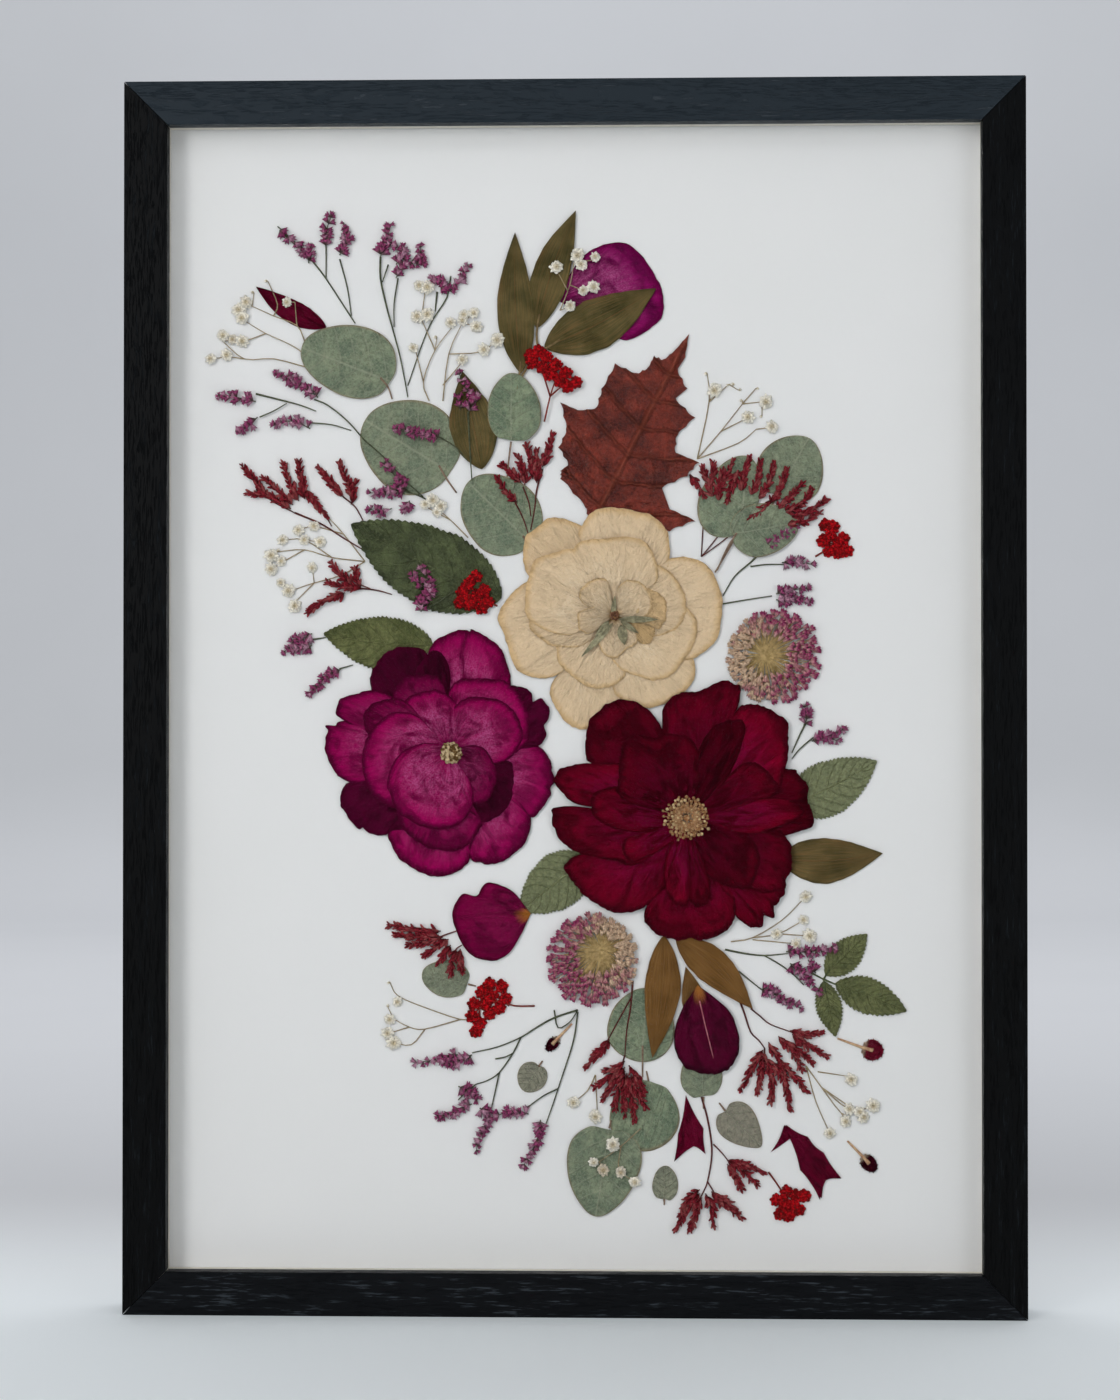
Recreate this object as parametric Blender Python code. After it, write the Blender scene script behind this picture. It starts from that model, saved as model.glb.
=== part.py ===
"""Pressed flower frame: a mitred wooden frame that holds a pane, a white board and pressed plants.

The origin is at the middle of the frame's foot. +Z is up and the glass faces -Y.
Layout numbers are millimetres on the board: x from its upright centre line, z up from the foot.
"""

import math

import bmesh
import bpy
from mathutils import Matrix, Vector

MM = 0.001

# The frame's driving sizes, in millimetres.
SIGHT_W = 412.0  # opening that the eye sees
SIGHT_H = 581.0
FACE = 22.0  # width of a rail's front face
DEPTH = 32.0  # front to back
REBATE = 6.0  # how far the lip covers the pane and the boards
LIP = 9.0  # thickness of the lip in front of the pane
EDGE_ROUND = 0.5
GAP = 0.3  # clearance between neighbouring pieces
GLASS = 2.0
SPACER_DEEP = 7.0
SPACER_SETBACK = 1.0  # from the sight edge back to the spacer's inner face
BOARD = 1.5
BACKING = 3.0

OUTER_W = SIGHT_W + 2 * FACE
OUTER_H = SIGHT_H + 2 * FACE
FRONT = -DEPTH / 2
BACK = DEPTH / 2
REBATE_W = SIGHT_W + 2 * REBATE
REBATE_H = SIGHT_H + 2 * REBATE
MIDDLE_Z = OUTER_H / 2

# The stack behind the lip, front to back.
GLASS_FRONT = FRONT + LIP + GAP
SPACER_FRONT = GLASS_FRONT + GLASS + GAP
BOARD_FRONT = SPACER_FRONT + SPACER_DEEP + GAP
BACKING_FRONT = BOARD_FRONT + BOARD + GAP
TAB_FRONT = BACKING_FRONT + BACKING + GAP

# Pressed pieces lie in layers that step forward from the board.
LEAF = 0.5
LAYER = LEAF + GAP
STALK = 0.9
STEP_UP = 0.3  # how steeply a pressed flower rises behind its outer petals

MATERIALS = {
    "frame_wood": ((0.012, 0.014, 0.017), 0.45, 0.0),
    "glass": ((0.9, 0.95, 0.93), 0.02, 0.0),
    "spacer": ((0.78, 0.76, 0.70), 0.8, 0.0),
    "mount_board": ((0.70, 0.70, 0.71), 0.9, 0.0),
    "backing_board": ((0.30, 0.20, 0.12), 0.85, 0.0),
    "steel": ((0.45, 0.45, 0.46), 0.35, 1.0),
    "eucalyptus": ((0.12, 0.19, 0.14), 0.75, 0.0),
    "rose_leaf": ((0.08, 0.12, 0.05), 0.7, 0.0),
    "ruscus": ((0.09, 0.08, 0.03), 0.6, 0.0),
    "maple": ((0.09, 0.012, 0.01), 0.55, 0.0),
    "magenta_petal": ((0.16, 0.01, 0.08), 0.6, 0.0),
    "beige_petal": ((0.72, 0.52, 0.30), 0.7, 0.0),
    "crimson_petal": ((0.10, 0.003, 0.02), 0.6, 0.0),
    "dark_petal": ((0.05, 0.004, 0.015), 0.5, 0.0),
    "allium": ((0.28, 0.12, 0.20), 0.8, 0.0),
    "yarrow": ((0.30, 0.005, 0.01), 0.8, 0.0),
}


def material(slot):
    """The slot's Principled material, made once."""
    if slot in bpy.data.materials:
        return bpy.data.materials[slot]
    made = bpy.data.materials.new(slot)
    made.use_nodes = True
    colour, roughness, metallic = MATERIALS[slot]
    shader = made.node_tree.nodes["Principled BSDF"]
    shader.inputs["Base Color"].default_value = (*colour, 1)
    shader.inputs["Roughness"].default_value = roughness
    shader.inputs["Metallic"].default_value = metallic
    return made


def add_object(name, bm, slot):
    """Turns a bmesh in millimetres into an object in metres."""
    bmesh.ops.scale(bm, vec=(MM, MM, MM), verts=bm.verts)
    bmesh.ops.recalc_face_normals(bm, faces=bm.faces)
    mesh = bpy.data.meshes.new(name)
    bm.to_mesh(mesh)
    bm.free()
    mesh.materials.append(material(slot))
    made = bpy.data.objects.new(name, mesh)
    bpy.context.scene.collection.objects.link(made)
    return made


def box(name, centre, size, slot):
    bm = bmesh.new()
    bmesh.ops.create_cube(bm, size=1, matrix=Matrix.Translation(centre) @ Matrix.Diagonal((*size, 1)))
    return add_object(name, bm, slot)


# --- frame -------------------------------------------------------------------------------------


def rail(name, length, turn):
    """One L-section rail, mitred at both ends, laid along the foot and turned about the frame's middle."""
    half = length / 2
    to_foot = -(OUTER_H if turn % 180 == 0 else OUTER_W) / 2
    section = (
        (0, FRONT),
        (FACE, FRONT),
        (FACE, FRONT + LIP),
        (FACE - REBATE, FRONT + LIP),
        (FACE - REBATE, BACK),
        (0, BACK),
    )
    bm = bmesh.new()
    profile = bm.faces.new([bm.verts.new((-half - 1, y, to_foot + u)) for u, y in section])
    run = bmesh.ops.extrude_face_region(bm, geom=[profile])
    far_end = [part for part in run["geom"] if isinstance(part, bmesh.types.BMVert)]
    bmesh.ops.translate(bm, vec=(length + 2, 0, 0), verts=far_end)
    long_edges = [edge for edge in bm.edges if abs(edge.verts[0].co.x - edge.verts[1].co.x) > 1]
    bmesh.ops.bevel(
        bm,
        geom=long_edges,
        offset=EDGE_ROUND,
        affect="EDGES",
        segments=2,
        profile=0.5,
        material=-1,
    )
    for side in (-1, 1):
        cut = bmesh.ops.bisect_plane(
            bm,
            geom=bm.verts[:] + bm.edges[:] + bm.faces[:],
            plane_co=(side * (half - GAP / math.sqrt(2)), 0, to_foot),
            plane_no=(side, 0, 1),
            clear_outer=True,
        )
        rim = [part for part in cut["geom_cut"] if isinstance(part, bmesh.types.BMEdge)]
        bmesh.ops.holes_fill(bm, edges=rim, sides=0)
    bmesh.ops.rotate(bm, matrix=Matrix.Rotation(math.radians(turn), 3, "Y"), verts=bm.verts)
    bmesh.ops.translate(bm, vec=(0, 0, MIDDLE_Z), verts=bm.verts)
    return add_object(name, bm, "frame_wood")


def build_frame():
    rail("rail_bottom", OUTER_W, 0)
    rail("rail_left", OUTER_H, 90)
    rail("rail_top", OUTER_W, 180)
    rail("rail_right", OUTER_H, 270)


def build_stack():
    """Pane, spacer strips, mount board and backing board, each clear of the rebate by GAP."""
    sheet_w = REBATE_W - 2 * GAP
    sheet_h = REBATE_H - 2 * GAP
    sheets = (
        ("glazing", GLASS_FRONT, GLASS, "glass"),
        ("mount_board", BOARD_FRONT, BOARD, "mount_board"),
        ("backing_board", BACKING_FRONT, BACKING, "backing_board"),
    )
    for name, front, thick, slot in sheets:
        box(name, (0, front + thick / 2, MIDDLE_Z), (sheet_w, thick, sheet_h), slot)
    strip = REBATE - SPACER_SETBACK - GAP
    y = SPACER_FRONT + SPACER_DEEP / 2
    across = SIGHT_W / 2 + SPACER_SETBACK + strip / 2
    upright = SIGHT_H / 2 + SPACER_SETBACK + strip / 2
    side_h = SIGHT_H + 2 * SPACER_SETBACK - 2 * GAP
    for name, sign in (("spacer_bottom", -1), ("spacer_top", 1)):
        box(name, (0, y, MIDDLE_Z + sign * upright), (sheet_w, SPACER_DEEP, strip), "spacer")
    for name, sign in (("spacer_left", -1), ("spacer_right", 1)):
        box(name, (sign * across, y, MIDDLE_Z), (strip, SPACER_DEEP, side_h), "spacer")


def build_tabs():
    """Six flat steel points that hold the backing, two on each upright and one on each cross rail."""
    long, wide, thick = 14.0, 8.0, 0.6
    y = TAB_FRONT + thick / 2
    across = REBATE_W / 2 - GAP - long / 2
    upright = REBATE_H / 2 - GAP - long / 2
    places = (
        (-across, OUTER_H / 6),
        (-across, -OUTER_H / 6),
        (across, OUTER_H / 6),
        (across, -OUTER_H / 6),
        (0, upright),
        (0, -upright),
    )
    for number, (x, z) in enumerate(places, start=1):
        size = (long, thick, wide) if x else (wide, thick, long)
        box(f"tab_{number}", (x, y, MIDDLE_Z + z), size, "steel")


def build_hanger():
    """Sawtooth hanger: a strip whose lower edge is cut into teeth, flat on the top rail's back."""
    wide, high, thick = 45.0, 10.0, 1.0
    teeth, tooth_run, tooth_deep = 9, 30.0, 2.5
    top = OUTER_H - (FACE - REBATE - high) / 2
    low = top - high
    pitch = tooth_run / teeth
    outline = [(-wide / 2, top), (-wide / 2, low)]
    for tooth in range(teeth):
        x = -tooth_run / 2 + tooth * pitch
        outline += [(x, low), (x + pitch / 2, low + tooth_deep)]
    outline += [(tooth_run / 2, low), (wide / 2, low), (wide / 2, top)]
    prism("hanger_plate", outline, BACK + GAP, BACK + GAP + thick, "steel")


# --- outlines of pressed pieces ----------------------------------------------------------------


def prism_mesh(outline, front, back):
    """A bmesh prism of the outline, in millimetres, from y = front to y = back."""
    bm = bmesh.new()
    face = bm.faces.new([bm.verts.new((x, front, z)) for x, z in outline])
    run = bmesh.ops.extrude_face_region(bm, geom=[face])
    behind = [part for part in run["geom"] if isinstance(part, bmesh.types.BMVert)]
    bmesh.ops.translate(bm, vec=(0, back - front, 0), verts=behind)
    return bm


def prism(name, outline, front, back, slot):
    return add_object(name, prism_mesh(outline, front, back), slot)


def layer_back(layer):
    return BOARD_FRONT - GAP - layer * LAYER


def pressed(name, outline, layer, slot):
    """A flat pressed piece, one leaf thick, on the given layer above the board."""
    back = layer_back(layer)
    return prism(name, outline, back - LEAF, back, slot)


def oval(centre, length, width, turn, taper=0.15, points=18):
    """An egg-shaped leaf whose narrow end points along turn, in degrees from +X."""
    along = Vector((math.cos(math.radians(turn)), math.sin(math.radians(turn))))
    side = Vector((-along.y, along.x))
    outline = []
    for step in range(points):
        angle = math.tau * step / points
        u = length / 2 * math.cos(angle)
        v = width / 2 * math.sin(angle) * (1 - taper * math.cos(angle))
        outline.append(tuple(Vector(centre) + along * u + side * v))
    return outline


def blade(base, tip, width, belly=0.8, fullness=0.9, steps=9):
    """A leaf pointed at both ends. belly under 1 puts the widest place nearer to the base."""
    base, tip = Vector(base), Vector(tip)
    along = tip - base
    side = Vector((-along.y, along.x)).normalized()

    def edge(t, sign):
        half = width / 2 * math.sin(math.pi * t**belly) ** fullness
        return tuple(base + along * t + side * half * sign)

    right = [edge(step / steps, -1) for step in range(1, steps)]
    left = [edge(step / steps, 1) for step in range(steps - 1, 0, -1)]
    return [tuple(base), *right, tuple(tip), *left]


def rounded(points, steps=2):
    """A smooth closed curve through the points, with steps pieces between neighbours."""
    knots = [Vector(point) for point in points]
    count = len(knots)
    outline = []
    for i in range(count):
        before, start, end, after = (knots[(i + shift) % count] for shift in (-1, 0, 1, 2))
        for step in range(steps):
            t = step / steps
            bend = start * 2 + (end - before) * t
            bend += (before * 2 - start * 5 + end * 4 - after) * t * t
            bend += (start * 3 - before - end * 3 + after) * t**3
            outline.append(tuple(bend / 2))
    return outline


def stalk(start, end, width):
    """A straight strip, as a stalk between two points."""
    start, end = Vector(start), Vector(end)
    along = (end - start).normalized()
    side = Vector((-along.y, along.x)) * width / 2
    return [tuple(start - side), tuple(end - side), tuple(end + side), tuple(start + side)]


def sprig(name, blades, stalks, layer, slot, stalk_width):
    """Leaves and stalks that grew as one piece, joined into one solid."""
    back = layer_back(layer)
    middle = back - LEAF / 2
    whole = prism(name, blades[0], back - LEAF, back, slot)
    others = [prism_mesh(outline, back - LEAF, back) for outline in blades[1:]]
    for number, (start, end) in enumerate(stalks):
        half = STALK / 2 + number * 0.02
        others.append(prism_mesh(stalk(start, end, stalk_width), middle - half, middle + half))
    for number, mesh in enumerate(others):
        joined = add_object(f"{name}_join_{number}", mesh, slot)
        joined.hide_render = True
        joined.display_type = "WIRE"
        union = whole.modifiers.new("join", "BOOLEAN")
        union.operation = "UNION"
        union.object = joined
    return whole


def dome(name, outline, centre, back, base, crown, slot):
    """A pressed flower: a flat skirt, base thick, with a step up to a middle that rises by crown."""
    bm = bmesh.new()
    face = bm.faces.new([bm.verts.new((x, back, z)) for x, z in outline])
    for rise, share in ((base, 1.0), (STEP_UP, 0.72), (crown, 0.5)):
        run = bmesh.ops.extrude_face_region(bm, geom=[face])
        if share < 1:
            bmesh.ops.delete(bm, geom=[face], context="FACES_ONLY")
        ring = [part for part in run["geom"] if isinstance(part, bmesh.types.BMVert)]
        for vert in ring:
            vert.co.x = centre[0] + (vert.co.x - centre[0]) * share
            vert.co.z = centre[1] + (vert.co.z - centre[1]) * share
        bmesh.ops.translate(bm, vec=(0, -rise, 0), verts=ring)
        face = next(part for part in run["geom"] if isinstance(part, bmesh.types.BMFace))
    return add_object(name, bm, slot)


# --- pressed pieces ----------------------------------------------------------------------------

# centre, length, width, turn of the narrow end, layer
EUCALYPTUS = (
    ((-115.5, 485), 50, 37, 165, 1),
    ((-84.5, 441.5), 52, 47, 150, 0),
    ((-30.5, 460), 36, 27, 95, 2),
    ((-38, 406.5), 45, 39, 135, 0),
    ((111, 429), 36, 34, 60, 0),
    ((80, 415), 44, 29, 65, 1),
    ((97, 398), 35, 27, 10, 2),
    ((-65.5, 169), 25, 19, 170, 0),
    ((34.5, 145.5), 38, 34, 80, 0),
    ((35.5, 100.5), 38, 35, 100, 0),
    ((14.5, 71), 46, 37, 262, 1),
    ((65, 121), 26, 21, 90, 0),
    ((-21.5, 118.5), 16, 15, 240, 0),
    ((85.5, 93.5), 27, 19, 315, 0),
    ((46.5, 65), 18, 13, 90, 0),
)

# base, tip, width, layer
ROSE_LEAVES = (
    ((-37, 363), (-114, 401), 42, 1),
    ((-72, 339), (-128, 345), 29, 0),
    ((8, 231), (-28, 203), 30, 0),
    ((108, 256), (154, 280), 29, 0),
)
ROSE_LEAFLETS = (
    ((128, 171), (149, 192), 18),
    ((133, 167), (169, 153), 20),
    ((127, 168), (133, 140), 15),
)
ROSE_STALKS = (
    ((121, 173), (130, 168)),
    ((127, 167), (132, 175)),
    ((125, 169), (139, 165)),
    ((127, 172), (128, 162)),
)

RUSCUS_LEAVES = (
    ((-47, 429), (-57, 479), 24, 1),
    ((104, 230), (157, 233), 23, 0),
    ((46, 191), (40, 129), 18, 1),
    ((52, 190), (91, 154), 18, 2),
    ((66, 140), (57, 175), 13, 0),
)
RUSCUS_SPRIG_LEAVES = (
    ((-27, 478), (-30, 550), 19),
    ((-19, 501), (1, 561), 19),
    ((-15, 491), (42, 521), 26),
)
RUSCUS_SPRIG_STALKS = (
    ((-28, 474), (-27, 484)),
    ((-26.5, 475), (-17, 491)),
    ((-18, 488), (-17.5, 508)),
    ((-18, 489.5), (-7, 495)),
)

MAPLE_OUTLINE = (
    (59, 498), (52, 490), (46, 485), (41, 487), (38, 481), (32, 478), (21, 483), (14, 470),
    (11, 460), (2, 459), (-7, 463), (-4, 449), (-8, 440), (-3, 431), (-7, 428), (-7, 424),
    (6, 409), (7, 403), (28, 396), (49, 397), (62, 402), (49, 408), (45, 419), (58, 425),
    (64, 432), (52, 437), (53, 446), (62, 455), (52, 465), (58, 470), (53, 480), (57, 486),
)  # fmt: skip

PETAL_MAGENTA = (
    (-5, 524), (6, 539), (22, 545), (33, 540), (43, 525), (46, 514), (44, 505), (31, 496), (22, 496),
    (12, 507),
)  # fmt: skip
PETAL_BURGUNDY = (
    (-61, 196), (-62, 203), (-57, 212), (-50, 211), (-44, 218), (-32, 214), (-25, 206), (-26, 193),
    (-33, 182), (-42, 178), (-54, 182),
)  # fmt: skip

ROSE_BEIGE = (
    (5, 403), (17, 409), (35, 408), (48, 398), (64, 385), (75, 367), (74, 349), (66, 335), (56, 318),
    (39, 307), (22, 302), (5, 296), (-7, 309), (-16, 322), (-31, 332), (-39, 353), (-28, 370),
    (-26, 387), (-10, 405),
)  # fmt: skip
ROSE_MAGENTA = (
    (-54, 346), (-35, 324), (-20, 308), (-11, 302), (-12, 286), (-12, 268), (-22, 244), (-38, 230),
    (-54, 226), (-71, 221), (-97, 240), (-112, 247), (-113, 264), (-127, 286), (-118, 305),
    (-103, 322), (-85, 338),
)  # fmt: skip
ROSE_CRIMSON = (
    (6, 291), (10, 304), (25, 311), (43, 308), (56, 312), (73, 321), (86, 317), (96, 306), (109, 297),
    (111, 280), (122, 252), (115, 236), (108, 218), (99, 201), (80, 197), (59, 189), (38, 195),
    (14, 205), (-5, 225), (0, 238), (-11, 255), (-3, 264), (-10, 272), (0, 280),
)  # fmt: skip

YARROW = (
    ((-16, 452), (-13, 453), (-2, 467), (3, 473), (-5, 483), (-16, 489), (-24, 485)),
    ((122, 383), (138, 384), (138, 393), (128, 403)),
    ((-38, 358), (-48, 376), (-60, 362), (-56, 354)),
    ((-19, 154), (-37, 166), (-47, 164), (-52, 153), (-49, 140)),
    ((98, 72), (102, 49), (112, 50), (119, 60)),
)


def build_leaves():
    for number, (centre, length, width, turn, layer) in enumerate(EUCALYPTUS, start=1):
        pressed(f"eucalyptus_{number:02d}", oval(centre, length, width, turn), layer, "eucalyptus")
    for number, (base, tip, width, layer) in enumerate(ROSE_LEAVES, start=1):
        pressed(f"rose_leaf_{number}", blade(base, tip, width), layer, "rose_leaf")
    for number, (base, tip, width, layer) in enumerate(RUSCUS_LEAVES, start=1):
        pressed(f"ruscus_leaf_{number}", blade(base, tip, width, fullness=1.1), layer, "ruscus")
    leaflets = [blade(base, tip, width) for base, tip, width in ROSE_LEAFLETS]
    sprig("rose_leaf_sprig", leaflets, ROSE_STALKS, 0, "rose_leaf", 1.2)
    leaves = [blade(base, tip, width, fullness=1.1) for base, tip, width in RUSCUS_SPRIG_LEAVES]
    sprig("ruscus_sprig", leaves, RUSCUS_SPRIG_STALKS, 1, "ruscus", 1.6)
    pressed("red_maple_leaf", MAPLE_OUTLINE, 0, "maple")


def build_petals():
    pressed("petal_magenta", rounded(PETAL_MAGENTA), 0, "magenta_petal")
    pressed("petal_lance", blade((-127, 502), (-163, 523), 12, belly=0.9), 0, "crimson_petal")
    pressed("petal_burgundy", rounded(PETAL_BURGUNDY), 1, "crimson_petal")
    pressed("petal_dark", blade((64, 164), (71, 122), 32, belly=1.15, fullness=0.7), 3, "dark_petal")


def build_flowers():
    """The three roses and two allium heads. Each starts far enough forward to clear what it covers."""
    over_one = BOARD_FRONT - GAP - LAYER
    over_three = BOARD_FRONT - GAP - 3 * LAYER
    beige = rounded(ROSE_BEIGE)
    dome("rose_beige", beige, (22, 355), over_one, 1.0, 2.0, "beige_petal")
    magenta = rounded(ROSE_MAGENTA)
    dome("rose_magenta", magenta, (-63, 286), over_one, 1.0, 2.0, "magenta_petal")
    crimson = rounded(ROSE_CRIMSON)
    dome("rose_crimson", crimson, (58, 251), over_three, 1.0, 2.0, "crimson_petal")
    upper = oval((102, 334), 48, 48, 0, taper=0)
    dome("allium_upper", upper, (102, 334), BOARD_FRONT - GAP, 0.6, 1.0, "allium")
    lower = oval((8.5, 178), 47, 47, 0, taper=0)
    dome("allium_lower", lower, (8.5, 178), over_one, 0.9, 2.0, "allium")


def build_yarrow():
    """Flat fans of red florets. The first lies over the leaves round it."""
    layers = (3, 0, 2, 0, 0)
    for number, (outline, layer) in enumerate(zip(YARROW, layers), start=1):
        pressed(f"yarrow_{number}", outline, layer, "yarrow")


for old in list(bpy.data.objects):
    bpy.data.objects.remove(old, do_unlink=True)

build_frame()
build_stack()
build_tabs()
build_hanger()
build_leaves()
build_petals()
build_flowers()
build_yarrow()
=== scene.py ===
import math
import random

import bmesh
import bpy
from mathutils import Matrix, Vector, noise


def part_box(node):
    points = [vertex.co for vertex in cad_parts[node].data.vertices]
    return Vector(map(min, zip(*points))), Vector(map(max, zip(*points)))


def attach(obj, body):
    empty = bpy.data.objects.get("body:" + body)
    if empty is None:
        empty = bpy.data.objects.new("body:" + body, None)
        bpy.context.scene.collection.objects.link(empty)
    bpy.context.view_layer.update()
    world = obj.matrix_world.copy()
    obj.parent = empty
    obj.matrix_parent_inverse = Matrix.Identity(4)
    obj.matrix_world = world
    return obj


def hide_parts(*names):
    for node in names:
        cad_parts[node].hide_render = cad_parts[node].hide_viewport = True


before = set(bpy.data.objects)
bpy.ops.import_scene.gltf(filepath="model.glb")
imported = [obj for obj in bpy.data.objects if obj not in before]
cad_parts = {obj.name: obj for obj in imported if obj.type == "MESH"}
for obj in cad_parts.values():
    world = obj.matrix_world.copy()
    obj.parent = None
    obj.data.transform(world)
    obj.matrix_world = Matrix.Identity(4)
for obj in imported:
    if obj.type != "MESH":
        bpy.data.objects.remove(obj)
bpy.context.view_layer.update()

# Everything behind the pane is laid out in millimetres on the board: x from the frame's upright
# centre line, y up from its foot, and z as the height above the board's face. A leaf or petal of
# the bottom layer lies LOWEST above it, and each layer LAYER higher than the one before.
MM = 0.001
BOARD_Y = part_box("mount_board")[0][1]
ON_BOARD = Matrix.Translation((0, BOARD_Y, 0)) @ Matrix.Rotation(math.pi / 2, 4, "X") @ Matrix.Scale(MM, 4)
LOWEST = 0.6
LAYER = 0.8

# Angles between one seed of a head and the next, in radians.
SEED_ANGLE = 2.4
GOLDEN_ANGLE = 2.39996


# --- node wiring -------------------------------------------------------------------------------


class Wire:
    """A number that varies over the surface. Arithmetic on it adds Math nodes."""

    def __init__(self, finish, socket):
        self.finish = finish
        self.socket = socket

    def math(self, operation, *others):
        return self.finish.node("ShaderNodeMath", (self, *others), operation=operation)

    def __add__(self, other):
        return self.math("ADD", other)

    def __sub__(self, other):
        return self.math("SUBTRACT", other)

    def __mul__(self, other):
        return self.math("MULTIPLY", other)

    def __pow__(self, other):
        return self.math("POWER", other)

    def __rsub__(self, other):
        return self.finish.node("ShaderNodeMath", (other, self), operation="SUBTRACT")

    def __abs__(self):
        return self.math("ABSOLUTE")

    def fract(self):
        return self.math("FRACT")

    def ease(self, low, high, to_low=0.0, to_high=1.0):
        """A smooth step: to_low where this is low, to_high where it is high."""
        values = (self, low, high, to_low, to_high)
        return self.finish.node("ShaderNodeMapRange", values, interpolation_type="SMOOTHSTEP")

    def __getitem__(self, axis):
        parts = self.finish.node("ShaderNodeSeparateXYZ", (self,)).socket.node
        return Wire(self.finish, parts.outputs["XYZ".index(axis)])


class Finish:
    """One material whose look is made of nodes."""

    def __init__(self, name, roughness=0.7, **fixed):
        self.material = bpy.data.materials.new(name)
        self.material.use_nodes = True
        self.tree = self.material.node_tree
        self.shader = self.tree.nodes["Principled BSDF"]
        self.shader.inputs["Roughness"].default_value = roughness
        for socket, value in fixed.items():
            self.shader.inputs[socket.replace("_", " ").title().replace("Ior", "IOR")].default_value = value

    def node(self, kind, values=(), output=0, **settings):
        """Adds a node: settings first, then its inputs by place or by name, as values or wires."""
        made = self.tree.nodes.new(kind)
        for setting, value in settings.items():
            setattr(made, setting, value)
        named = values.items() if isinstance(values, dict) else enumerate(values)
        for key, value in named:
            if isinstance(value, Wire):
                self.tree.links.new(value.socket, made.inputs[key])
            else:
                made.inputs[key].default_value = value
        return Wire(self, made.outputs[output])

    def place(self, stretch=(1, 1, 1)):
        """Object coordinates in metres, stretched."""
        spot = self.node("ShaderNodeTexCoord", output=3)
        return self.node("ShaderNodeMapping", {"Vector": spot, "Scale": stretch})

    def uv(self):
        return self.node("ShaderNodeTexCoord", output=2)

    def tint(self):
        """The tone given to a whole leaf, petal or floret."""
        return self.node("ShaderNodeAttribute", output=2, attribute_name="tint")

    def rim(self):
        """0 at the middle or foot of a piece, 1 at its rim or tip."""
        return self.node("ShaderNodeAttribute", output=2, attribute_name="rim")

    def spot(self, x, y):
        return self.node("ShaderNodeCombineXYZ", (x, y))

    def noise(self, spot, scale, detail=3.0, roughness=0.55, distortion=0.0):
        values = {"Vector": spot, "Scale": scale, "Detail": detail, "Roughness": roughness}
        return self.node("ShaderNodeTexNoise", {**values, "Distortion": distortion})

    def cells(self, spot, scale):
        """The distance to the nearest edge of an irregular net."""
        values = {"Vector": spot, "Scale": scale}
        return self.node("ShaderNodeTexVoronoi", values, feature="DISTANCE_TO_EDGE")

    def mix(self, share, colour, other):
        """Colour, turning to other where share is 1."""
        colours = [value if isinstance(value, Wire) else (*value, 1) for value in (colour, other)]
        values = {0: share, 6: colours[0], 7: colours[1]}
        return self.node("ShaderNodeMix", values, output=2, data_type="RGBA")

    def shade(self, colour, amount):
        """Colour made darker or lighter by a number that varies."""
        return self.node("ShaderNodeVectorMath", {"Vector": colour, "Scale": amount}, operation="SCALE")

    def paint(self, socket, wire):
        self.tree.links.new(wire.socket, self.shader.inputs[socket])

    def bump(self, height, depth_mm, strength=1.0):
        """Relief: height runs from 0 to 1 and stands for depth_mm millimetres."""
        values = {"Strength": strength, "Distance": depth_mm * MM, "Height": height}
        self.paint("Normal", self.node("ShaderNodeBump", values))


# --- finishes of the frame and the sweep -------------------------------------------------------


def frame_wood(name, stretch, low, high, fleck):
    """Black-stained open-grained wood. stretch is smallest along the grain. The colour runs from low at the
    bottom to high at the top, a painted reflection of the bright room above.
    """
    finish = Finish(name, roughness=0.5, specular_ior_level=0.08)
    waver = finish.noise(finish.place(stretch), 45, 2.0)
    flow = finish.shade(finish.place(stretch), waver.ease(0, 1, 0.985, 1.015))
    pores = finish.noise(flow, 1050, 4.0, 0.62).ease(0.50, 0.64)
    patches = finish.noise(finish.place(stretch), 260, 3.0)
    flecks = pores * patches.ease(0.48, 0.62)
    dark = finish.mix(patches, tuple(part * 0.6 for part in low), low)
    # Painted reflection: the colour grows lighter and bluer with height, so the top rail looks lit by the
    # room above and the bottom rail stays dark.
    dark = finish.mix(finish.place()["Z"].ease(0.05, 0.6), dark, high)
    finish.paint("Base Color", finish.mix(flecks * 0.75, dark, fleck))
    finish.paint("Roughness", pores.ease(0, 1, 0.4, 0.7))
    finish.bump(1 - pores, 0.35, 0.8)
    return finish.material


def clear_glass():
    finish = Finish("clear_glass", roughness=0.0, transmission_weight=1.0, ior=1.06)
    smear = finish.noise(finish.place(), 14, 3.0)
    finish.paint("Base Color", finish.mix(smear, (0.985, 0.99, 0.985), (1.0, 1.0, 1.0)))
    return finish.material


def spacer_card():
    finish = Finish("spacer_card", roughness=0.8)
    fibre = finish.noise(finish.place(), 900, 3.0)
    finish.paint("Base Color", finish.mix(fibre, (0.62, 0.58, 0.50), (0.78, 0.75, 0.68)))
    finish.bump(fibre, 0.05)
    return finish.material


def white_board():
    """Smooth mount board with a faint tooth."""
    finish = Finish("white_board", roughness=0.9, specular_ior_level=0.2)
    tooth = finish.noise(finish.place(), 1500, 2.0)
    cloud = finish.noise(finish.place(), 9, 2.0)
    flat = finish.mix(cloud, (0.775, 0.775, 0.775), (0.795, 0.795, 0.80))
    finish.paint("Base Color", finish.mix(tooth * 0.25, flat, (0.74, 0.74, 0.735)))
    finish.bump(tooth, 0.03, 0.4)
    return finish.material


def hardboard():
    finish = Finish("hardboard", roughness=0.75)
    fibre = finish.noise(finish.place((1, 1, 0.6)), 700, 4.0, 0.65)
    blotch = finish.noise(finish.place(), 25, 3.0)
    brown = finish.mix(blotch, (0.20, 0.115, 0.06), (0.30, 0.19, 0.11))
    finish.paint("Base Color", finish.mix(fibre * 0.5, brown, (0.12, 0.07, 0.04)))
    finish.bump(fibre, 0.12)
    return finish.material


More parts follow.
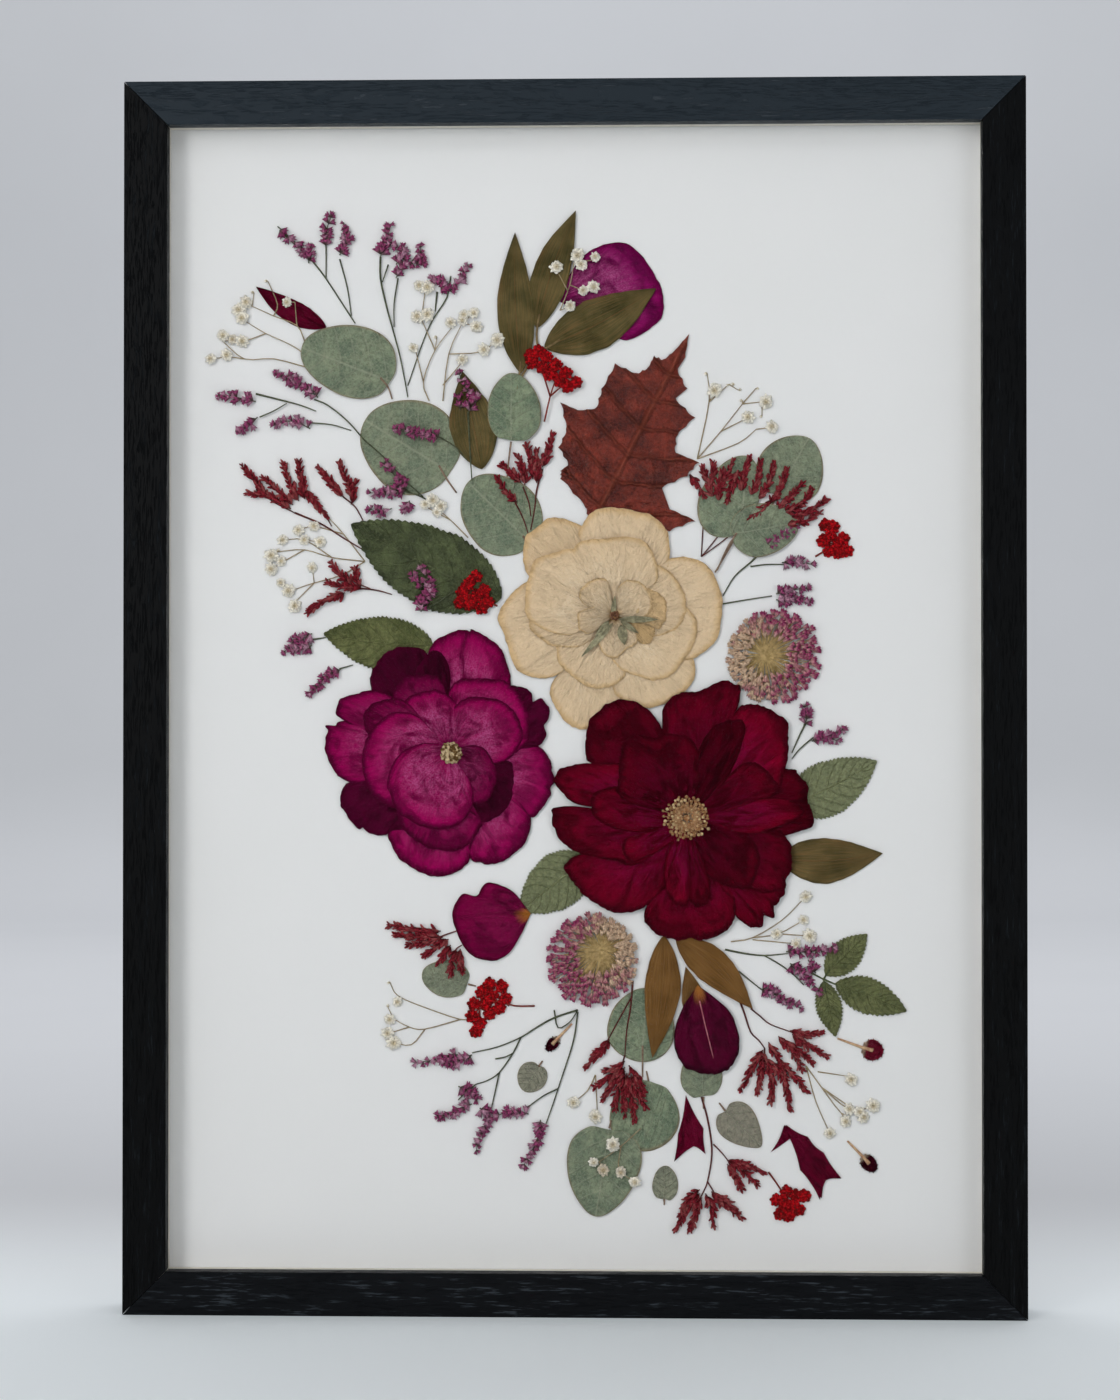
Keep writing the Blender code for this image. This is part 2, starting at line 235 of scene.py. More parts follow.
def plated_steel():
    finish = Finish("plated_steel", metallic=1.0)
    scratch = finish.noise(finish.place((1, 1, 12)), 300, 3.0)
    finish.paint("Base Color", finish.mix(scratch, (0.42, 0.42, 0.43), (0.62, 0.61, 0.58)))
    finish.paint("Roughness", scratch.ease(0.3, 0.7, 0.25, 0.5))
    finish.bump(scratch, 0.02, 0.4)
    return finish.material


def studio_sweep():
    """White paper in front with a painted glow that brightens it, and a darker blue-grey cast behind the
    frame and up the wall, painted shade.
    """
    # The emission is a painted glow, not a lamp.
    finish = Finish("studio_sweep", roughness=0.95, specular_ior_level=0.1, emission_strength=0.13)
    depth = finish.place()["Y"].ease(0.0, 0.4)
    cloud = finish.noise(finish.place(), 3, 2.0)
    front = finish.mix(cloud, (0.93, 0.95, 0.97), (0.95, 0.97, 0.99))
    # Painted shade: behind the frame the paper is darker, and the wall darker still, where less light falls.
    back = finish.mix(cloud, (0.74, 0.75, 0.775), (0.77, 0.78, 0.805))
    wall = finish.mix(cloud, (0.62, 0.63, 0.65), (0.66, 0.67, 0.69))
    back = finish.mix(finish.place()["Z"].ease(0.0, 0.25), back, wall)
    finish.paint("Base Color", finish.mix(depth, front, back))
    # Painted light: only the front of the floor glows, so it reads brighter than the wall.
    finish.paint("Emission Color", finish.mix(depth, (0.80, 0.95, 1.0), (0, 0, 0)))
    return finish.material


# --- finishes of pressed leaves and petals -----------------------------------------------------


def midrib(across, width):
    """1 on the middle line of a leaf, 0 away from it."""
    return 1 - abs(across).ease(0, width)


def side_veins(along, across, count, slope, width):
    """Veins that leave the midrib in pairs and bend towards the tip."""
    lean = along * count - abs(across) ** 1.2 * slope
    return 1 - abs(lean.fract() - 0.5).ease(0, width)


def leaf_finish(name, dark, light, vein, back, relief, veins=9, slope=2.6, rough=0.62, patch=90,
                vein_share=0.55, rim=None, gloss=0.15, ribbed=0.12):
    """A dried leaf. Its map runs from base to tip in x and from edge to edge in y."""
    finish = Finish(name, roughness=rough, specular_ior_level=gloss)
    spot = finish.uv()
    along = spot["X"]
    across = spot["Y"] * 2 - 1
    wobble = finish.noise(finish.place(), 160, 3.0) * 0.16 - 0.08
    rib = midrib(across + wobble * 0.2, 0.045)
    ribs = side_veins(along + wobble * 0.25, across, veins, slope, 0.10)
    net = finish.cells(finish.place(), 560).ease(0.0, 0.14, 1.0, 0.0)
    blotch = finish.noise(finish.place(), patch, 5.0, 0.65).ease(0.36, 0.64)
    mottle = finish.noise(finish.place(), 420, 4.0, 0.7)
    speck = finish.noise(finish.place(), 1100, 2.0).ease(0.56, 0.70)
    colour = finish.mix(blotch, dark, light)
    colour = finish.mix(finish.tint(), colour, back)
    colour = finish.shade(colour, mottle.ease(0.3, 0.7, 0.72, 1.28))
    colour = finish.mix(net * 0.22, colour, vein)
    colour = finish.mix(speck * 0.3, colour, vein)
    colour = finish.mix(ribs * 0.6 * vein_share, colour, vein)
    colour = finish.mix(rib * vein_share, colour, vein)
    if rim:
        colour = finish.mix(finish.rim().ease(0.93, 1.0) * 0.65, colour, rim)
    finish.paint("Base Color", colour)
    finish.paint("Roughness", blotch.ease(0, 1, rough - 0.08, rough + 0.12))
    height = (rib + ribs) * ribbed + net * 0.03 + finish.noise(finish.place(), 140, 5.0) * 0.9
    finish.bump(height, relief)
    return finish.material


def ruscus_finish(name, dark, light, streak):
    """A leaf with fine veins that run from base to tip."""
    finish = Finish(name, roughness=0.55, specular_ior_level=0.06)
    spot = finish.uv()
    lines = finish.noise(finish.spot(spot["X"] * 1.2, spot["Y"] * 30), 2.2, 4.0, 0.6)
    blotch = finish.noise(finish.place(), 70, 3.0).ease(0.3, 0.7)
    colour = finish.mix(blotch, dark, light)
    colour = finish.mix(finish.tint(), colour, streak)
    colour = finish.mix(lines.ease(0.45, 0.7) * 0.5, colour, streak)
    colour = finish.shade(colour, lines.ease(0.3, 0.6, 0.65, 1.2))
    rib = midrib(spot["Y"] * 2 - 1, 0.05)
    colour = finish.mix(rib * 0.35, colour, streak)
    finish.paint("Base Color", colour)
    finish.paint("Roughness", lines.ease(0.3, 0.7, 0.4, 0.65))
    finish.bump(lines + rib * 0.5, 0.5, 0.9)
    return finish.material


def petal_finish(name, deep, bright, pale, rim, streaks=46, rough=0.7, heart=None, relief=5.0, bloom=0.5,
                 rayed=0.5, clouded=1.0):
    """A dried petal. Its map runs from claw to rim in x and from side to side in y."""
    finish = Finish(name, roughness=rough, specular_ior_level=0.03)
    spot = finish.uv()
    out = spot["X"]
    side = spot["Y"]
    tint = finish.tint()
    rays = finish.noise(finish.spot(out * 1.6, side * streaks + tint * 30), 1.0, 5.0, 0.7, 0.3)
    folds = finish.noise(finish.spot(out * 3, side * 4 + tint * 50), 1.0, 4.0, 0.55, 1.0)
    pucker = finish.noise(finish.spot(out * 4, side * 14 + tint * 50), 1.0, 4.0, 0.6, 1.5)
    small = finish.noise(finish.place(), 330, 4.0, 0.6, 0.6)
    grain = finish.noise(finish.place(), 1500, 3.0, 0.7)
    cloud = folds.ease(0.32, 0.62)
    colour = finish.mix(tint.ease(0.0, 0.6), deep, bright)
    # Lighter on the raised folds and darker in the sunken ones: the petal's own blotches together with
    # painted light and shade of the folds.
    colour = finish.shade(colour, cloud.ease(0, 1, 1 - clouded * 0.38, 1 + clouded * 0.2))
    middle = out.ease(0.05, 0.4) * out.ease(0.95, 0.5)
    velvet = grain.ease(0.40, 0.62) * 0.7 + small.ease(0.35, 0.6) * 0.3
    colour = finish.mix(middle * velvet * cloud * tint.ease(0.0, 0.7) * bloom, colour, pale)
    near_claw = rays.ease(0.5, 0.3) * out.ease(0.75, 0.05)
    colour = finish.mix(near_claw * tint.ease(0, 0.6) * rayed, colour, pale)
    colour = finish.shade(colour, rays.ease(0.35, 0.65, 1 + rayed * 0.15, 1 - rayed * 0.3))
    # Painted shade: darker in the hollows of the crumples.
    colour = finish.shade(colour, pucker.ease(0.35, 0.5, 1 - clouded * 0.2, 1.0))
    # The dark band along the rim is partly the petal's own darker edge and partly painted shadow, where
    # overlapping petals shade one another.
    edge_and_painted_shadow = out + small * 0.08
    colour = finish.mix(edge_and_painted_shadow.ease(0.95, 1.03) * 0.85, colour, rim)
    if heart:
        colour = finish.mix((out + rays * 0.2).ease(0.34, 0.13) * 0.85, colour, heart)
    finish.paint("Base Color", colour)
    finish.paint("Roughness", folds.ease(0.3, 0.7, rough - 0.1, rough + 0.12))
    height = folds * 0.6 + pucker * 0.45 + small * 0.25 + rays * rayed * 0.06 + grain * 0.04
    finish.bump(height, relief)
    return finish.material


def spray_finish(name, low, high, other):
    """Florets: low at the foot, high at the mouth, and other on some of them."""
    finish = Finish(name, roughness=0.75, specular_ior_level=0.08)
    speck = finish.noise(finish.place(), 900, 3.0)
    colour = finish.mix(finish.rim().ease(0.15, 0.95), low, high)
    colour = finish.mix(finish.tint().ease(0.25, 0.9), colour, other)
    colour = finish.shade(colour, speck.ease(0.3, 0.7, 0.72, 1.2))
    finish.paint("Base Color", colour)
    finish.bump(speck, 0.12, 0.8)
    return finish.material


def stem_finish(name, dark, light):
    finish = Finish(name, roughness=0.7, specular_ior_level=0.1)
    grain = finish.noise(finish.place(), 500, 3.0)
    finish.paint("Base Color", finish.mix(grain.ease(0.3, 0.7), dark, light))
    finish.bump(grain, 0.08, 0.7)
    return finish.material


# --- sheets: leaves and petals -----------------------------------------------------------------


def ripple(x, y, seed, scale):
    """Smooth bumps between -1 and 1 at a place in millimetres."""
    return noise.noise(Vector((x * scale, y * scale, seed * 7.31)))


def wrinkle(x, y, seed, scale):
    """Sharp folds, 1 on the fold line and falling away on both sides of it."""
    return 1 - 2.6 * abs(ripple(x, y, seed, scale))


def heading(degrees):
    """The unit vector in the board's plane that points that way."""
    turn = math.radians(degrees)
    return Vector((math.cos(turn), math.sin(turn)))


def pairs(*numbers):
    """Places on the board, from numbers that stand in pairs of x and y."""
    return tuple(zip(numbers[::2], numbers[1::2]))


def spiral(centre, reach, count, angle=SEED_ANGLE, first=0.5):
    """Yields count places that fill a disc evenly, and how far from its centre each one is."""
    for number in range(count):
        turn = number * angle
        away = reach * math.sqrt((number + first) / count)
        yield (centre[0] + away * math.cos(turn), centre[1] + away * math.sin(turn)), away


def through(points, closed=False):
    """The smooth curve through the points, as a function of a share from 0 to 1."""
    knots = [Vector(point) for point in points]
    if closed:
        knots = [knots[-1], *knots, knots[0], knots[1]]
    else:
        knots = [knots[0] * 2 - knots[1], *knots, knots[-1] * 2 - knots[-2]]
    runs = len(knots) - 3

    def curve(share):
        run = min(int(share * runs), runs - 1)
        t = share * runs - run
        before, start, end, after = knots[run : run + 4]
        bend = start * 2 + (end - before) * t
        bend += (before * 2 - start * 5 + end * 4 - after) * t * t
        bend += (start * 3 - before - end * 3 + after) * t**3
        return bend / 2

    return curve


def as_object(name, bm, finishes):
    """Turns a bmesh into a smooth object at the origin."""
    mesh = bpy.data.meshes.new(name)
    bm.to_mesh(mesh)
    bm.free()
    mesh.shade_smooth()
    for finish in finishes:
        mesh.materials.append(finish)
    made = bpy.data.objects.new(name, mesh)
    bpy.context.scene.collection.objects.link(made)
    return made


def put(name, bm, finishes, slot, nodes):
    """Lays a bmesh of board millimetres in the frame as a piece that rides with it."""
    bmesh.ops.transform(bm, matrix=ON_BOARD, verts=bm.verts)
    piece = as_object(name, bm, finishes)
    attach(piece, "root")
    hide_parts(*nodes)
    return piece


def sheet(name, shape, rows, columns, finish, slot, nodes, tone, thick=0.16):
    """A thin skin. shape turns a place on the unit square into place, map place and nearness to the rim."""
    bm = bmesh.new()
    chart = bm.loops.layers.uv.new("chart")
    rim = bm.verts.layers.float.new("rim")
    tint = bm.verts.layers.float.new("tint")
    middle = Matrix.Translation((0.5, 0.5, 0))
    bmesh.ops.create_grid(bm, x_segments=rows, y_segments=columns, size=0.5, matrix=middle)
    for vert in bm.verts:
        place, mapped, vert[rim] = shape(vert.co.x, vert.co.y)
        vert[tint] = tone
        vert.co = place
        for loop in vert.link_loops:
            loop[chart].uv = mapped
    bmesh.ops.remove_doubles(bm, verts=bm.verts, dist=0.002)
    piece = put(name, bm, (finish,), slot, nodes)
    wall = piece.modifiers.new("thickness", "SOLIDIFY")
    wall.thickness = thick * MM
    wall.offset = 0
    return piece


def blade(name, base, tip, width, height, finish, slot, nodes=(), seed=1, belly=0.8, fullness=0.9, teeth=0,
          bend=0.0, curl=0.5, tone=0.0, keel=0.3):
    """A leaf pointed at both ends, with forward-pointing teeth on its rim where teeth is set."""
    start = Vector(base)
    run = Vector(tip) - start
    side = Vector((-run.y, run.x)).normalized()

    def shape(along, v):
        across = v * 2 - 1
        half = width / 2 * math.sin(math.pi * along**belly) ** fullness if 0 < along < 1 else 0.0
        half *= 1 + 0.05 * ripple(along * 40, across, seed, 0.3)
        if teeth and half > 1.2:
            half -= 1.4 * (1 - (along * teeth + 0.01) % 1) * abs(across) ** 6
        spot = start + run * along + side * (across * half + bend * run.length * math.sin(math.pi * along))
        rise = curl * across**2 * (0.5 + 0.5 * ripple(along * 30, across * 9, seed, 0.2))
        rise += curl * along**4 * 0.8 - keel * (1 - abs(across)) ** 3
        rise += 0.3 * ripple(spot.x, spot.y, seed, 0.1) + 0.12 * ripple(spot.x, spot.y, seed, 0.4)
        return (spot.x, spot.y, height + max(rise, -0.2)), (along, v), abs(across)

    return sheet(name, shape, teeth * 4 or 64, 18, finish, slot, nodes, tone)


def patch(name, outline, spine, height, finish, slot, nodes=(), seed=1, sharp=False, curl=0.4, fold=0.0,
          tone=0.0, rows=12, per_edge=5, lean=0.0, keel=0.25, bites=1):
    """A leaf or petal of any outline, drawn in from its rim to a spine that runs from base to tip."""
    edges = len(outline)
    curve = through(outline, closed=True)
    base, tip = (Vector(end) for end in spine)
    run = tip - base
    side = Vector((-run.y, run.x)).normalized()
    reach = max(abs((Vector(point) - base).dot(side)) for point in outline)
    stations = 40
    ahead = run.normalized()
    far = max((Vector(point) - base).dot(ahead) for point in outline)

    def rim_at(v):
        if not sharp:
            return curve(v)
        edge = min(int(v * edges), edges - 1)
        share = v * edges - edge
        start, end = Vector(outline[edge]), Vector(outline[(edge + 1) % edges])
        inward = (base + tip) / 2 - (start + end) / 2
        return start.lerp(end, share) + inward.normalized() * abs(math.sin(math.pi * share * bites)) * 0.9

    def shape(out, v):
        rim = rim_at(v)
        share = (rim - base).dot(run) / run.length_squared - lean
        anchor = base + run * (min(max(round(share * stations), 0), stations) / stations)
        spot = anchor.lerp(rim, out)
        across = (spot - base).dot(side) / reach
        along = (spot - base).dot(ahead) / far
        rise = curl * out**4 * (0.55 + 0.45 * ripple(rim.x, rim.y, seed, 0.09)) - keel * (1 - out) ** 2
        rise += 0.3 * ripple(spot.x, spot.y, seed, 0.08) + 0.1 * ripple(spot.x, spot.y, seed, 0.4)
        rise += fold * wrinkle(spot.x, spot.y, seed + 2, 0.09) * out
        return (spot.x, spot.y, height + max(rise, -0.2)), (along, 0.5 + across / 2), out

    return sheet(name, shape, rows, edges * per_edge, finish, slot, nodes, tone)


def egg(centre, length, width, turn, seed, taper=0.15, points=20):
    """The outline of a round leaf whose narrow end points along turn, in degrees, with a slight waver."""
    along = heading(turn)
    side = Vector((-along.y, along.x))
    outline = []
    for step in range(points):
        angle = math.tau * step / points
        waver = 1 + 0.035 * ripple(math.cos(angle) * 10, math.sin(angle) * 10, seed, 0.15)
        u = length / 2 * math.cos(angle) * waver
        v = width / 2 * math.sin(angle) * (1 - taper * math.cos(angle)) * waver
        outline.append(Vector(centre) + along * u + side * v)
    return outline


def petal(name, claw, rim_points, height, tone, finish, slot, nodes=(), seed=1, pleat=0.22, crumple=0.05,
          curl=0.5, ragged=0.5, heart=None):
    """One petal: it spreads from its claw, drawn towards heart, to the curve through rim_points."""
    curve = through(rim_points)
    foot = Vector(claw)
    if heart:
        foot = foot.lerp(Vector(heart), 0.8)

    def shape(out, v):
        edge = curve(v)
        reach = edge - foot
        torn = ragged * ripple(edge.x, edge.y, seed, 0.35) + ragged * 0.5 * ripple(edge.x, edge.y, seed, 1.1)
        spot = foot + reach * out * (1 + torn / max(reach.length, 6))
        side = v * 2 - 1
        rise = curl * out**5 * (0.45 + 0.55 * ripple(edge.x, edge.y, seed + 5, 0.08))
        rise += pleat * out * ripple(side * 22, out * 3, seed, 0.45)
        rise += crumple * (wrinkle(spot.x, spot.y, seed, 0.11) + 0.5 * wrinkle(spot.y, spot.x, seed, 0.23))
        rise += 0.12 * ripple(spot.x, spot.y, seed + 2, 0.2)
        return (spot.x, spot.y, height + max(rise, -0.22)), (out, v), out

    return sheet(name, shape, 20, 64, finish, slot, nodes, tone, 0.13)


# --- stalks and florets ------------------------------------------------------------------------


def blank():
    """An empty bmesh that carries the two shades a floret's finish reads."""
    bm = bmesh.new()
    bm.verts.layers.float.new("rim")
    bm.verts.layers.float.new("tint")
    return bm


def as_shape(name, bm, length, finish_number=1):
    """A reusable mesh. rim runs from 0 at its foot to 1 at length along x."""
    rim = bm.verts.layers.float["rim"]
    for vert in bm.verts:
        vert[rim] = min(max(vert.co.x / length, 0), 1)
    for face in bm.faces:
        face.material_index = finish_number
    mesh = bpy.data.meshes.new(name)
    bm.to_mesh(mesh)
    bm.free()
    return mesh


UPRIGHT_TO_X = Matrix.Rotation(math.pi / 2, 4, "Y")


def spindle(bm, length, thick, flat, sides=5, rings=4, matrix=Matrix()):
    """A bud that is pointed at both ends, from the origin along x."""
    stretch = Matrix.Diagonal((thick / 2 * flat, thick / 2, length / 2, 1))
    place = matrix @ UPRIGHT_TO_X @ Matrix.Translation((0, 0, length / 2)) @ stretch
    bmesh.ops.create_uvsphere(bm, u_segments=sides, v_segments=rings, radius=1, matrix=place)


def rod(route, thick, thin, height, end_height):
    """A five-sided stalk that tapers along its route, closed at both ends."""
    curve = through(route)
    steps = max(3, 3 * (len(route) - 1))
    spots = [curve(step / steps) for step in range(steps + 1)]
    rings = []
    for step, spot in enumerate(spots):
        ahead = (spots[min(step + 1, steps)] - spots[max(step - 1, 0)]).normalized()
        share = step / steps
        radius = thick + (thin - thick) * share
        lift = height + (end_height - height) * share
        turn = Matrix(((-ahead.y, 0, ahead.x), (ahead.x, 0, ahead.y), (0, 1, 0))).to_quaternion()
        rings.append(Matrix.LocRotScale((spot.x, spot.y, lift), turn, (radius, radius, radius)))
    bm = blank()
    bmesh.ops.create_circle(bm, cap_ends=True, segments=5, radius=1, matrix=rings[0])
    face = bm.faces[:][0]
    for earlier, later in zip(rings, rings[1:]):
        run = bmesh.ops.extrude_face_region(bm, geom=[face])["geom"]
        if earlier is not rings[0]:
            bmesh.ops.delete(bm, geom=[face], context="FACES_ONLY")
        grown = [part for part in run if isinstance(part, bmesh.types.BMVert)]
        bmesh.ops.transform(bm, matrix=later @ earlier.inverted(), verts=grown)
        face = next(part for part in run if isinstance(part, bmesh.types.BMFace))
    return as_shape("stalk", bm, 1.0, 0)


def at(x, y, height, turn=0.0, lean=0.0, roll=0.0, size=1.0):
    """Places a shape whose own axis is x: turned in the board's plane, leaned up from it and rolled."""
    place = Matrix.Translation((x, y, height)) @ Matrix.Rotation(turn, 4, "Z")
    place @= Matrix.Rotation(-lean, 4, "Y") @ Matrix.Rotation(roll, 4, "X")
    return place @ Matrix.Scale(size, 4)


class Sprig:
    """Stalks and florets that belong to one sprig, gathered in one bmesh."""

    def __init__(self):
        self.bm = blank()

    def add(self, shape, matrix, tone):
        copy = shape.copy()
        copy.transform(matrix)
        shades = copy.attributes["tint"].data
        shades.foreach_set("value", [tone] * len(shades))
        self.bm.from_mesh(copy)
        bpy.data.meshes.remove(copy)

    def stalk(self, route, thick, thin, height, end_height=None):
        """A stalk at one height, or rising to end_height."""
        shape = rod(route, thick, thin, height, height if end_height is None else end_height)
        self.add(shape, Matrix(), 0.0)
        bpy.data.meshes.remove(shape)

    def lay(self, name, finishes, slot, nodes=()):
        bmesh.ops.recalc_face_normals(self.bm, faces=self.bm.faces)
        return put(name, self.bm, finishes, slot, nodes)


def statice_cup():
    """A papery calyx: a ruffled funnel with a closed throat."""
    bm = blank()
    place = UPRIGHT_TO_X @ Matrix.Translation((0, 0, 1.6))
    bmesh.ops.create_cone(bm, cap_ends=True, segments=10, radius1=0.35, radius2=1.25, depth=3.2, matrix=place)
    mouth = [face for face in bm.faces if face.normal.x > 0.9]
    bmesh.ops.inset_region(bm, faces=mouth, thickness=0.5, depth=-0.7)
    for vert in bm.verts:
        if vert.co.x < 3.1:
            continue
        angle = math.atan2(vert.co.z, vert.co.y)
        flare = 1 + 0.4 * math.cos(5 * angle)
        vert.co.y *= flare
        vert.co.z *= flare
        vert.co.x += 0.35 * math.cos(5 * angle)
    return as_shape("cup", bm, 3.4)


def bract():
    """A short pointed scale of a feathery head."""
    length = 4.2
    bm = blank()
    spindle(bm, length, 1.9, 0.7)
    for vert in bm.verts:
        vert.co.z += 0.04 * vert.co.x**2
    return as_shape("bract", bm, length)


def cream_rosette():
    """A double flower of many small rounded petals."""
    bm = blank()
    for count, reach, lean, lift in ((9, 2.5, 0.1, 0.2), (8, 2.1, 0.5, 0.3), (5, 1.6, 1.0, 0.4)):
        for number in range(count):
            turn = at(0, 0, lift, math.tau * number / count + count, lean, 0.5)
            spindle(bm, reach, reach * 0.85, 0.4, 6, 4, turn)
    for vert in bm.verts:
        vert.co *= 1 + 0.35 * noise.noise(vert.co * 1.3)
    shape = as_shape("rosette", bm, 1.0)
    rims = [min(vert.co.xy.length / 2.0, 1) for vert in shape.vertices]
    shape.attributes["rim"].data.foreach_set("value", rims)
    return shape


def small_bud():
    length = 1.625
    bm = blank()
    spindle(bm, length, 1.3, 1.0, 6, 4)
    return as_shape("bud", bm, length)


def star_floret():
    """Six narrow petals that open from one foot."""
    length = 4.6
    bm = blank()
    for number in range(6):
        turn = Matrix.Rotation(math.tau * number / 6, 4, "X") @ Matrix.Rotation(0.36, 4, "Y")
        spindle(bm, length, 1.7, 0.5, 4, 4, turn)
    return as_shape("star", bm, length)


def tiny_dome():
    """A crinkled knob of a flat-topped cluster."""
    bm = blank()
    bmesh.ops.create_icosphere(bm, subdivisions=2, radius=1.0)
    for vert in bm.verts:
        vert.co *= 1 + 0.35 * noise.noise(vert.co * 2.3)
    return as_shape("knob", bm, 1.0)


# --- where each pressed piece lies, in board millimetres ----------------------------------------

# centre x and y, length, width, turn of the narrow end, taper, layer, tone, petiole route
EUCALYPTUS = (
    (-115.5, 485, 50, 37, 165, 0.15, 1, 0.1, (-99, 476, -95, 471, -93, 465)),
    (-84.5, 441.5, 52, 47, 150, 0.15, 0, 0.15, (-69, 431, -65, 424, -60, 417)),
    (-30.5, 460, 36, 27, 95, 0.15, 2, 0.0, (-32, 443, -33, 435, -34, 425)),
    (-38, 406.5, 45, 39, 135, 0.15, 0, 0.1, (-26, 395, -23, 390, -21, 385)),
    (111, 429, 36, 34, 60, 0.15, 0, 0.15, (104, 416, 100, 408, 97, 400)),
    (80, 415, 44, 29, 65, 0.15, 1, 0.1, (85, 399, 79, 388, 72, 376)),
    (97, 398, 35, 27, 10, 0.15, 2, 0.15, (83, 396, 78, 388, 73, 377)),
    (-65.5, 169, 25, 19, 170, 0.15, 0, 0.3, (-54, 166, -50, 165)),
    (34.5, 145.5, 38, 34, 80, 0.15, 0, 0.05, (35, 135, 35, 127, 35, 119)),
    (35.5, 100.5, 38, 35, 100, 0.15, 0, 0.0, (38, 117, 37, 122)),
    (14.5, 71, 46, 37, 262, 0.3, 1, 0.1, (18, 93, 19, 97)),
    (65, 121, 26, 21, 90, 0.15, 0, 0.2, (66, 109, 66, 103)),
    (-21.5, 118.5, 16, 15, 240, 0.15, 0, 0.7, (-18, 124, -16, 127)),
    (85.5, 93.5, 27, 19, 315, 0.45, 0, 0.85, (77, 102, 74, 106)),
    (46.5, 65, 18, 13, 90, 0.15, 0, 0.5, (46, 57, 46, 54)),
)

# base, tip, width, layer, bend, tone
ROSE_LEAVES = (
    ((-37, 363), (-114, 401), 42, 1, 0.02, 0.0),
    ((-72, 339), (-128, 345), 29, 0, 0.03, 0.0),
    ((8, 231), (-28, 203), 30, 0, 0.0, 0.8),
    ((108, 256), (154, 280), 29, 0, -0.02, 0.9),
)
RUSCUS_LEAVES = (
    ((-47, 429), (-57, 479), 24, 1, 0.0, 0.0),
    ((104, 230), (157, 233), 23, 0, -0.04, 0.1),
    ((46, 191), (40, 129), 18, 1, 0.03, 0.0),
    ((52, 190), (91, 154), 18, 2, 0.04, 0.0),
    ((66, 140), (57, 175), 13, 0, 0.0, 0.2),
)

# base, tip, width and, for ruscus, bend
LEAFLETS = (
    ((128, 171), (149, 192), 18),
    ((133, 167), (169, 153), 20),
    ((127, 168), (133, 140), 15),
)
RUSCUS_SPRIG = (
    ((-27, 478), (-30, 550), 19, 0.02),
    ((-19, 501), (1, 561), 19, 0.03),
    ((-15, 491), (42, 521), 26, -0.03),
)
SEPALS = (
    ((20, 350), (4, 333), 3.5),
    ((24, 349), (26, 339), 5),
    ((23, 352), (43, 352), 3.5),
    ((20, 353), (21, 364), 2.5),
    ((18, 351), (11, 343), 3.5),
    ((24, 351), (33, 345), 3),
)

# stalk routes
LEAFLET_STALKS = (
    (119, 173, 127, 169),
    (127, 169, 130, 174),
    (127, 169, 134, 166),
    (127, 169, 128, 162),
)
RUSCUS_STALKS = (
    (-29, 470, -28, 476, -27, 484),
    (-28, 474, -22, 484, -17, 491),
    (-18, 488, -19, 498, -17.5, 508),
    (-18, 489, -12, 492, -7, 495),
)

# name, foot, head, length, width, turn, tone
SLIPS = (
    ("slip_dark_1", (-1, 146), (-11, 135.5), 10, 7, -133, 0.05),
    ("slip_red", (134, 139), (152, 133), 12, 12, -15, 0.9),
    ("slip_dark_2", (139, 87), (150, 75.5), 11, 9, -48, 0.0),
)

# node, centre, radius, where the stalks meet, bearing of the purple side, lift
ALLIUMS = (
    ("allium_upper", (103, 333), 24.5, (97, 334), 0.15, 0.9),
    ("allium_lower", (8.5, 178), 24, (14, 184), 3.6, 1.7),
)

# outlines: sharp corners for the red leaf and the torn petals, points on a smooth rim for the others
RED_LEAF = pairs(
    59, 498, 52, 490, 46, 485, 41, 487, 38, 481, 32, 478, 21, 483, 14, 470, 11, 460, 2, 459, -7, 463,
    -4, 449, -8, 440, -3, 431, -7, 428, -7, 424, 6, 409, 7, 403, 28, 396, 49, 397, 62, 402, 49, 408,
    45, 419, 58, 425, 64, 432, 52, 437, 53, 446, 62, 455, 52, 465, 58, 470, 53, 480, 57, 486
)
LOOSE_MAGENTA = pairs(
    -5, 524, 6, 539, 22, 545, 33, 540, 43, 525, 46, 514, 44, 505, 31, 496, 22, 496, 12, 507
)
LOOSE_BURGUNDY = pairs(
    -26, 193, -33, 182, -42, 178, -54, 182, -61, 196, -62, 203, -57, 212, -50, 211, -44, 218, -32, 214,
    -25, 206
)
DARK_PETAL = pairs(
    56, 156, 52, 146, 51, 136, 55, 126, 63, 122, 73, 121, 80, 125, 84, 134, 83, 144, 79, 153, 70, 161
)
TORN_SMALL = pairs(57, 110, 66, 93, 67, 80, 61, 84, 51, 76, 53, 90)
TORN_LARGE = pairs(
    100, 81, 107, 95, 108, 95, 119, 89, 127, 81, 136, 68, 128, 67, 126, 58, 125, 57, 122, 63, 115, 72,
    109, 90
)

